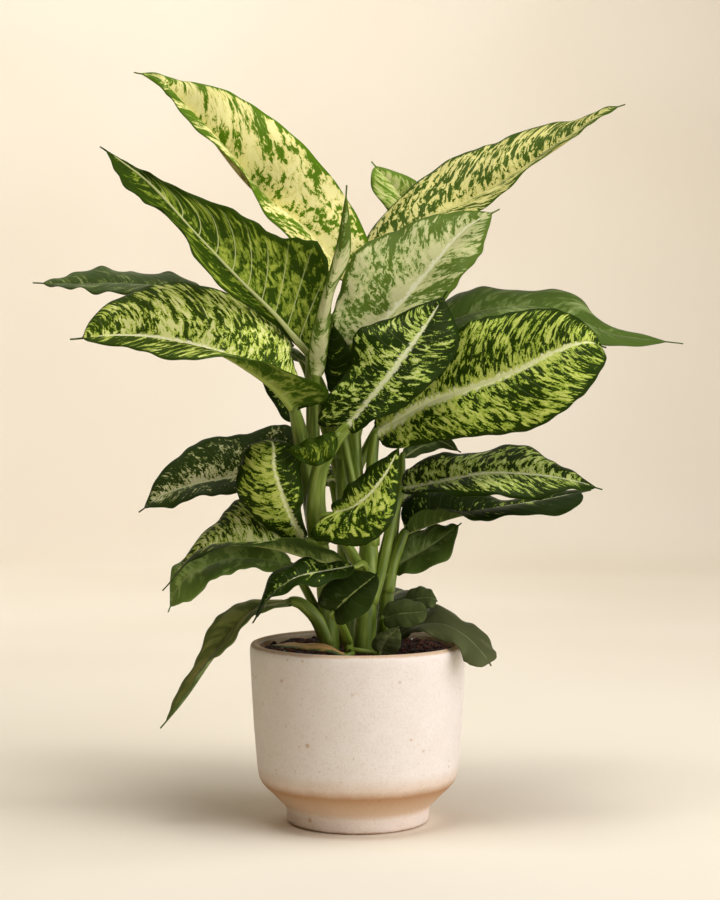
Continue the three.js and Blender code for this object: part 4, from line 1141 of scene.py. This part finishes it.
def blade_material(name, tones, marks, vein_strength, underside):
    """Living leaf skin: a thin waxy face whose colour breaks up into marks along the side veins.

    The upper face is satin with sharp-edged marks. The under face is duller, its marks are softer and
    its side veins stand out pale.
    """
    dark, middle, light, pale, rib = tones
    streak_size, island_size, streak_part, island_part, soft, grit = marks
    material, tree, skin = new_material(name)
    place = add_node(tree, "ShaderNodeUVMap", {}, uv_map="veins")
    look = add_node(tree, "ShaderNodeUVMap", {}, uv_map="look")
    lightness = add_node(tree, "ShaderNodeSeparateXYZ", {0: look}, out="X")
    rib_share = add_node(tree, "ShaderNodeSeparateXYZ", {0: look}, out="Y")
    patterns = []
    for (across, along), texture in (
        (streak_size, {"Detail": 2.4, "Roughness": 0.55, "Distortion": 0.7}),
        (island_size, {"Detail": 3, "Roughness": 0.6}),
    ):
        cell = (1 / across, 1 / along, 1)
        stretched = add_node(tree, "ShaderNodeVectorMath", {0: place, 1: cell}, operation="MULTIPLY")
        texture = {"Vector": stretched, "Scale": MARK_CELLS, **texture}
        patterns.append(add_node(tree, "ShaderNodeTexNoise", texture))
    streaks, islands = patterns
    field = add_node(
        tree, "ShaderNodeMath", {0: streaks, 1: streak_part, 2: lightness}, operation="MULTIPLY_ADD"
    )
    field = add_node(tree, "ShaderNodeMath", {0: islands, 1: island_part, 2: field}, operation="MULTIPLY_ADD")
    level = (streak_part + island_part) / 2 - 0.5
    field = add_node(tree, "ShaderNodeMath", {0: field, 1: level}, operation="SUBTRACT")
    # Groups of cells roughen the edges of the marks and dot the ground.
    crumbs = add_node(tree, "ShaderNodeTexNoise", {"Vector": place, "Scale": EDGE_GRIT_CELLS, "Detail": 3})
    crumbs = add_node(tree, "ShaderNodeMapRange", {0: crumbs, 3: -grit, 4: grit})
    field = add_node(tree, "ShaderNodeMath", {0: field, 1: crumbs}, operation="ADD")
    soft = max(soft, 0.018) if underside else soft
    edges = [(0.36, dark), (0.46 - soft, dark), (0.46 + soft, middle), (0.51 - soft, middle)]
    edges += [(0.51 + soft, light), (0.59, light), (0.64, pale)]
    colour = add_node(tree, "ShaderNodeValToRGB", {0: field}, stops=edges)
    # The tone drifts a little from place to place.
    drift = add_node(tree, "ShaderNodeTexNoise", {"Vector": place, "Scale": TONE_CELLS, "Detail": 1})
    tone = add_node(tree, "ShaderNodeMapRange", {0: drift, 1: 0.3, 2: 0.7, 3: 0.88, 4: 1.12})
    colour = add_node(tree, "ShaderNodeHueSaturation", {"Color": colour, "Value": tone})
    # Side veins, up to 0.55 mm from the middle of each, that fade out towards the margin.
    along = add_node(tree, "ShaderNodeSeparateXYZ", {0: place}, out="X")
    nearest = add_node(tree, "ShaderNodeMath", {0: along, 1: VEIN_SPACING / 2}, operation="PINGPONG")
    smooth = {"interpolation_type": "SMOOTHSTEP"}
    vein = add_node(tree, "ShaderNodeMapRange", {0: nearest, 1: 0.1, 2: 0.55, 3: 1, 4: 0}, **smooth)
    outward = add_node(tree, "ShaderNodeUVMap", {}, uv_map="span")
    outward = add_node(tree, "ShaderNodeSeparateXYZ", {0: outward}, out="Y")
    outward = add_node(tree, "ShaderNodeMath", {0: outward}, operation="ABSOLUTE")
    fade = add_node(tree, "ShaderNodeMapRange", {0: outward, 1: 0.5, 2: 0.95, 3: vein_strength, 4: 0})
    vein_part = add_node(tree, "ShaderNodeMath", {0: vein, 1: fade}, operation="MULTIPLY")
    # The rib, feathered out into the blade along the side veins: a lot above, a little below.
    feather, offset = (0.6, 0) if underside else (4, 2)
    ragged = add_node(
        tree, "ShaderNodeMath", {0: streaks, 1: feather, 2: rib_share}, operation="MULTIPLY_ADD"
    )
    span = {0: ragged, 1: 1.3 + offset, 2: 0.5 + offset, 3: 0, 4: 1}
    rib_part = add_node(tree, "ShaderNodeMapRange", span, **smooth)
    for part in (vein_part, rib_part):
        colour = add_node(
            tree, "ShaderNodeMix", {0: part, 6: colour, 7: linear(rib)}, out=2, data_type="RGBA"
        )
    cells = add_node(tree, "ShaderNodeTexNoise", {"Vector": place, "Scale": SKIN_CELLS, "Detail": 2})
    bump = add_node(tree, "ShaderNodeBump", {"Height": cells, "Strength": 0.25, "Distance": 0.0004})
    shine = {"Roughness": 0.6 if underside else 0.5, "Specular IOR Level": 0.08 if underside else 0.12}
    shine.update({"IOR": 1.45, "Specular Tint": linear("#dce6a4")})
    fill_sockets(tree, skin, {"Base Color": colour, "Normal": bump, **shine})
    return material


def stalk_material():
    """Fresh leaf stalks: smooth, juicy green skin, streaked lengthwise with paler green; the streaks' dark
    and pale tones also stand for shade among the leaves and for highlights: painted shade and painted
    highlights.
    """
    material, tree, skin = new_material("fresh_stalk_skin")
    place = add_node(tree, "ShaderNodeUVMap", {}, uv_map="skin")
    # Streaks about 45 mm long and 5 mm wide.
    cell = (1 / 45.0, 1 / 5.0, 1)
    stretched = add_node(tree, "ShaderNodeVectorMath", {0: place, 1: cell}, operation="MULTIPLY")
    streaks = add_node(tree, "ShaderNodeTexNoise", {"Vector": stretched, "Scale": 1, "Detail": 2})
    tones = list(zip((0.3, 0.5, 0.75), STALK_TONES))
    colour = add_node(tree, "ShaderNodeValToRGB", {0: streaks}, stops=tones)
    bump = add_node(tree, "ShaderNodeBump", {"Height": streaks, "Strength": 0.06, "Distance": 0.0005})
    finish = {"Base Color": colour, "Roughness": 0.4, "Specular IOR Level": 0.35, "Normal": bump}
    fill_sockets(tree, skin, finish)
    return material


def stoneware_material():
    """Matte stoneware, thrown and fired without glaze: chalky cream clay with fine brown iron specks.

    The clay is bare and browner on the lip and on the foot's lower edge. The slope over the foot is painted
    darker and browner, most of all just under the belly: mostly painted shade with painted warm bounced
    light, over bare clay that is a little browner there.
    """
    material, tree, skin = new_material("matte_speckled_stoneware")
    place = add_node(tree, "ShaderNodeTexCoord", {}, out="Object")
    clay_cells = {"Vector": place, "Scale": CLAY_CLOUD_CELLS, "Detail": 6, "Roughness": 0.75}
    clay = add_node(tree, "ShaderNodeTexNoise", clay_cells)
    tones = [(0.3, "#efe5db"), (0.5, "#f2e9e0"), (0.7, "#f5ede6")]
    colour = add_node(tree, "ShaderNodeValToRGB", {0: clay}, stops=tones)
    freckles = add_node(
        tree, "ShaderNodeTexNoise", {"Vector": place, "Scale": CLAY_FRECKLE_CELLS, "Detail": 3}
    )
    freckles = add_node(tree, "ShaderNodeMapRange", {0: freckles, 1: 0.5, 2: 0.7, 3: 0, 4: 0.22})
    colour = add_node(
        tree, "ShaderNodeMix", {0: freckles, 6: colour, 7: linear("#d9bfa8")}, out=2, data_type="RGBA"
    )
    # Specks with ragged edges, from 1 to 3 mm across, in the middle of a few cells of each grid.
    wander = {"Vector": place, "Scale": SPECK_EDGE_CELLS, "Detail": 2}
    wander = add_node(tree, "ShaderNodeTexNoise", wander, out="Color")
    shift = {0: wander, 1: (SPECK_EDGE_SHIFT,) * 3, 2: place}
    ragged = add_node(tree, "ShaderNodeVectorMath", shift, operation="MULTIPLY_ADD")
    for cell, size, rarity, shade, amount in SPECKS:
        spots = add_node(tree, "ShaderNodeTexVoronoi", {"Vector": ragged, "Scale": 1 / cell})
        pick = add_node(tree, "ShaderNodeSeparateXYZ", {0: spots.node.outputs["Color"]})
        rare = add_node(tree, "ShaderNodeMapRange", {0: pick, 1: rarity, 2: 1.0, 3: 0, 4: size})
        gap = add_node(tree, "ShaderNodeMath", {0: rare, 1: spots}, operation="SUBTRACT")
        spot = add_node(tree, "ShaderNodeMapRange", {0: gap, 1: -0.03, 2: 0.08, 3: 0, 4: amount})
        colour = add_node(
            tree, "ShaderNodeMix", {0: spot, 6: colour, 7: linear(shade)}, out=2, data_type="RGBA"
        )
    height = add_node(tree, "ShaderNodeSeparateXYZ", {0: place}, out="Z")
    uneven = add_node(
        tree, "ShaderNodeMath", {0: clay, 1: POT_BAND_SHIFT, 2: height}, operation="MULTIPLY_ADD"
    )
    low, high = POT_BAND_HEIGHTS
    height = add_node(tree, "ShaderNodeMapRange", {0: uneven, 1: low, 2: high})
    # The bands: bare clay on the lip and the foot's edge. On the slope over the foot they are mostly painted
    # shade with painted warm bounced light.
    bare = add_node(tree, "ShaderNodeValToRGB", {0: height}, stops=POT_BANDS)
    tint = {"out": 2, "data_type": "RGBA", "blend_type": "MULTIPLY"}
    colour = add_node(tree, "ShaderNodeMix", {0: 1.0, 6: colour, 7: bare}, **tint)
    grain = add_node(tree, "ShaderNodeTexNoise", {"Vector": place, "Scale": CLAY_GRIT_CELLS, "Detail": 4})
    bump = add_node(tree, "ShaderNodeBump", {"Height": grain, "Strength": 0.6, "Distance": 0.0007})
    finish = {"Base Color": colour, "Roughness": 0.8, "Specular IOR Level": 0.2, "Normal": bump}
    fill_sockets(tree, skin, finish)
    return material


def bare_clay_material():
    """The pot's unfinished inside: warm dull clay, stained a little by the soil."""
    material, tree, skin = new_material("bare_fired_clay")
    place = add_node(tree, "ShaderNodeTexCoord", {}, out="Object")
    stain = add_node(tree, "ShaderNodeTexNoise", {"Vector": place, "Scale": CLAY_STAIN_CELLS, "Detail": 4})
    colour = add_node(tree, "ShaderNodeValToRGB", {0: stain}, stops=[(0.35, "#c39c74"), (0.65, "#e2c8a6")])
    fill_sockets(tree, skin, {"Base Color": colour, "Roughness": 0.9})
    return material


def soil_material(name, tones):
    """Damp potting mix: crumbs of peat and bark, each with its own shade."""
    material, tree, skin = new_material(name)
    place = add_node(tree, "ShaderNodeTexCoord", {}, out="Object")
    crumbs = add_node(tree, "ShaderNodeTexNoise", {"Vector": place, "Scale": SOIL_CELLS, "Detail": 4})
    stops = list(zip((0.35, 0.5, 0.62, 0.74), tones))
    colour = add_node(tree, "ShaderNodeValToRGB", {0: crumbs}, stops=stops)
    bump = add_node(tree, "ShaderNodeBump", {"Height": crumbs, "Strength": 0.9, "Distance": 0.0015})
    fill_sockets(tree, skin, {"Base Color": colour, "Roughness": 0.85, "Normal": bump})
    return material


def backdrop_material():
    """Matte cream paint, a little uneven over wide patches."""
    material, tree, skin = new_material("matte_backdrop_paint")
    place = add_node(tree, "ShaderNodeTexCoord", {}, out="Object")
    cloud = add_node(tree, "ShaderNodeTexNoise", {"Vector": place, "Scale": BACKDROP_CELLS, "Detail": 1})
    colour = add_node(tree, "ShaderNodeValToRGB", {0: cloud}, stops=[(0.3, "#f6edda"), (0.7, "#fbf4e3")])
    fill_sockets(tree, skin, {"Base Color": colour, "Roughness": 0.9})
    return material


def make_backdrop():
    """A pale floor that sweeps up into a wall behind the plant."""
    profile = [(FLOOR_FRONT, 0.0), (FLOOR_BACK, 0.0)]
    for k in range(1, SWEEP_STEPS + 1):
        turn = math.pi / 2 * k / SWEEP_STEPS
        rise = SWEEP_RADIUS - SWEEP_RADIUS * math.cos(turn)
        profile.append((FLOOR_BACK + SWEEP_RADIUS * math.sin(turn), rise))
    profile.append((FLOOR_BACK + SWEEP_RADIUS, WALL_TOP))
    points = [(x, y, z) for y, z in profile for x in (-BACKDROP_SIDE, BACKDROP_SIDE)]
    faces = [(2 * k, 2 * k + 1, 2 * k + 3, 2 * k + 2) for k in range(len(profile) - 1)]
    mesh = bpy.data.meshes.new("backdrop")
    mesh.from_pydata(points, [], faces)
    mesh.shade_smooth()
    mesh.materials.append(backdrop_material())
    backdrop = place_in_scene("backdrop", mesh)


def make_camera():
    """A long lens that looks a little down on the plant."""
    data = bpy.data.cameras.new("camera")
    data.sensor_width = CAMERA_SENSOR
    data.lens = CAMERA_LENS
    camera = place_in_scene("camera", data)
    camera.location = CAMERA_PLACE
    camera.rotation_euler = (math.radians(90 - CAMERA_TILT), 0, 0)
    bpy.context.scene.camera = camera


def make_light():
    """Plain soft studio light: a wide key low on the right, one lamp overhead, and a faint warm glow."""
    world = bpy.data.worlds.new("studio")
    world.use_nodes = True
    world.node_tree.nodes["Background"].inputs[0].default_value = linear(GLOW_COLOUR)
    world.node_tree.nodes["Background"].inputs[1].default_value = GLOW_STRENGTH
    bpy.context.scene.world = world
    for name, place, target, size, power, colour in LAMPS:
        data = bpy.data.lights.new(name, "AREA")
        data.shape = "DISK"
        data.size = size
        data.energy = power
        data.color = linear(colour)[:3]
        lamp = place_in_scene(name, data)
        lamp.location = place
        lamp.rotation_euler = (Vector(target) - Vector(place)).to_track_quat("-Z", "Y").to_euler()


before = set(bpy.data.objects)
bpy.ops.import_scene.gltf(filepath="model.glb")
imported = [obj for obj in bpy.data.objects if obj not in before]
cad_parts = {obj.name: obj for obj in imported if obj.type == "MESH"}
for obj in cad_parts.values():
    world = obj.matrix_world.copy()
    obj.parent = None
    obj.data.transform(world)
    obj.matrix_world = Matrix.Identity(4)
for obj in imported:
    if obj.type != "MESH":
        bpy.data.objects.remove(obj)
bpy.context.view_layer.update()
make_camera()
make_backdrop()
make_light()
make_pot([stoneware_material(), bare_clay_material()])
make_soil(soil_material("damp_potting_mix", MIX_TONES))
make_crumbs(
    [
        soil_material("damp_peat_crumbs", MIX_TONES),
        soil_material("bark_chips", BARK_TONES),
        soil_material("perlite", PERLITE_TONES),
    ]
)
stalk_skin = stalk_material()
stalk_ends = {}
for shoot_name, shoot_plan in SHOOTS.items():
    make_shoot(shoot_name, shoot_plan, stalk_skin)
    for leaf_name, (_, _, end_radius) in shoot_plan["stalks"].items():
        stalk_ends[leaf_name] = end_radius
skins = {}
for kind, (upper_tones, under_tones, upper_marks, under_marks) in TONES.items():
    strength = UNDER_VEINS_OF_KIND.get(kind, UNDER_VEINS)
    skins[kind] = (
        blade_material("upper_skin_" + kind, upper_tones, MARKS[upper_marks], UPPER_VEINS, False),
        blade_material("under_skin_" + kind, under_tones, MARKS[under_marks], strength, True),
    )
for number, leaf_name in enumerate(LEAVES):
    leaf_look = LOOKS[leaf_name]
    upper_skin, under_skin = skins[leaf_look["kind"]]
    both_skins = (upper_skin, upper_skin if leaf_look.get("alike") else under_skin)
    make_leaf(leaf_name, number, stalk_ends[leaf_name], both_skins)
bpy.context.scene.view_settings.view_transform = "Standard"
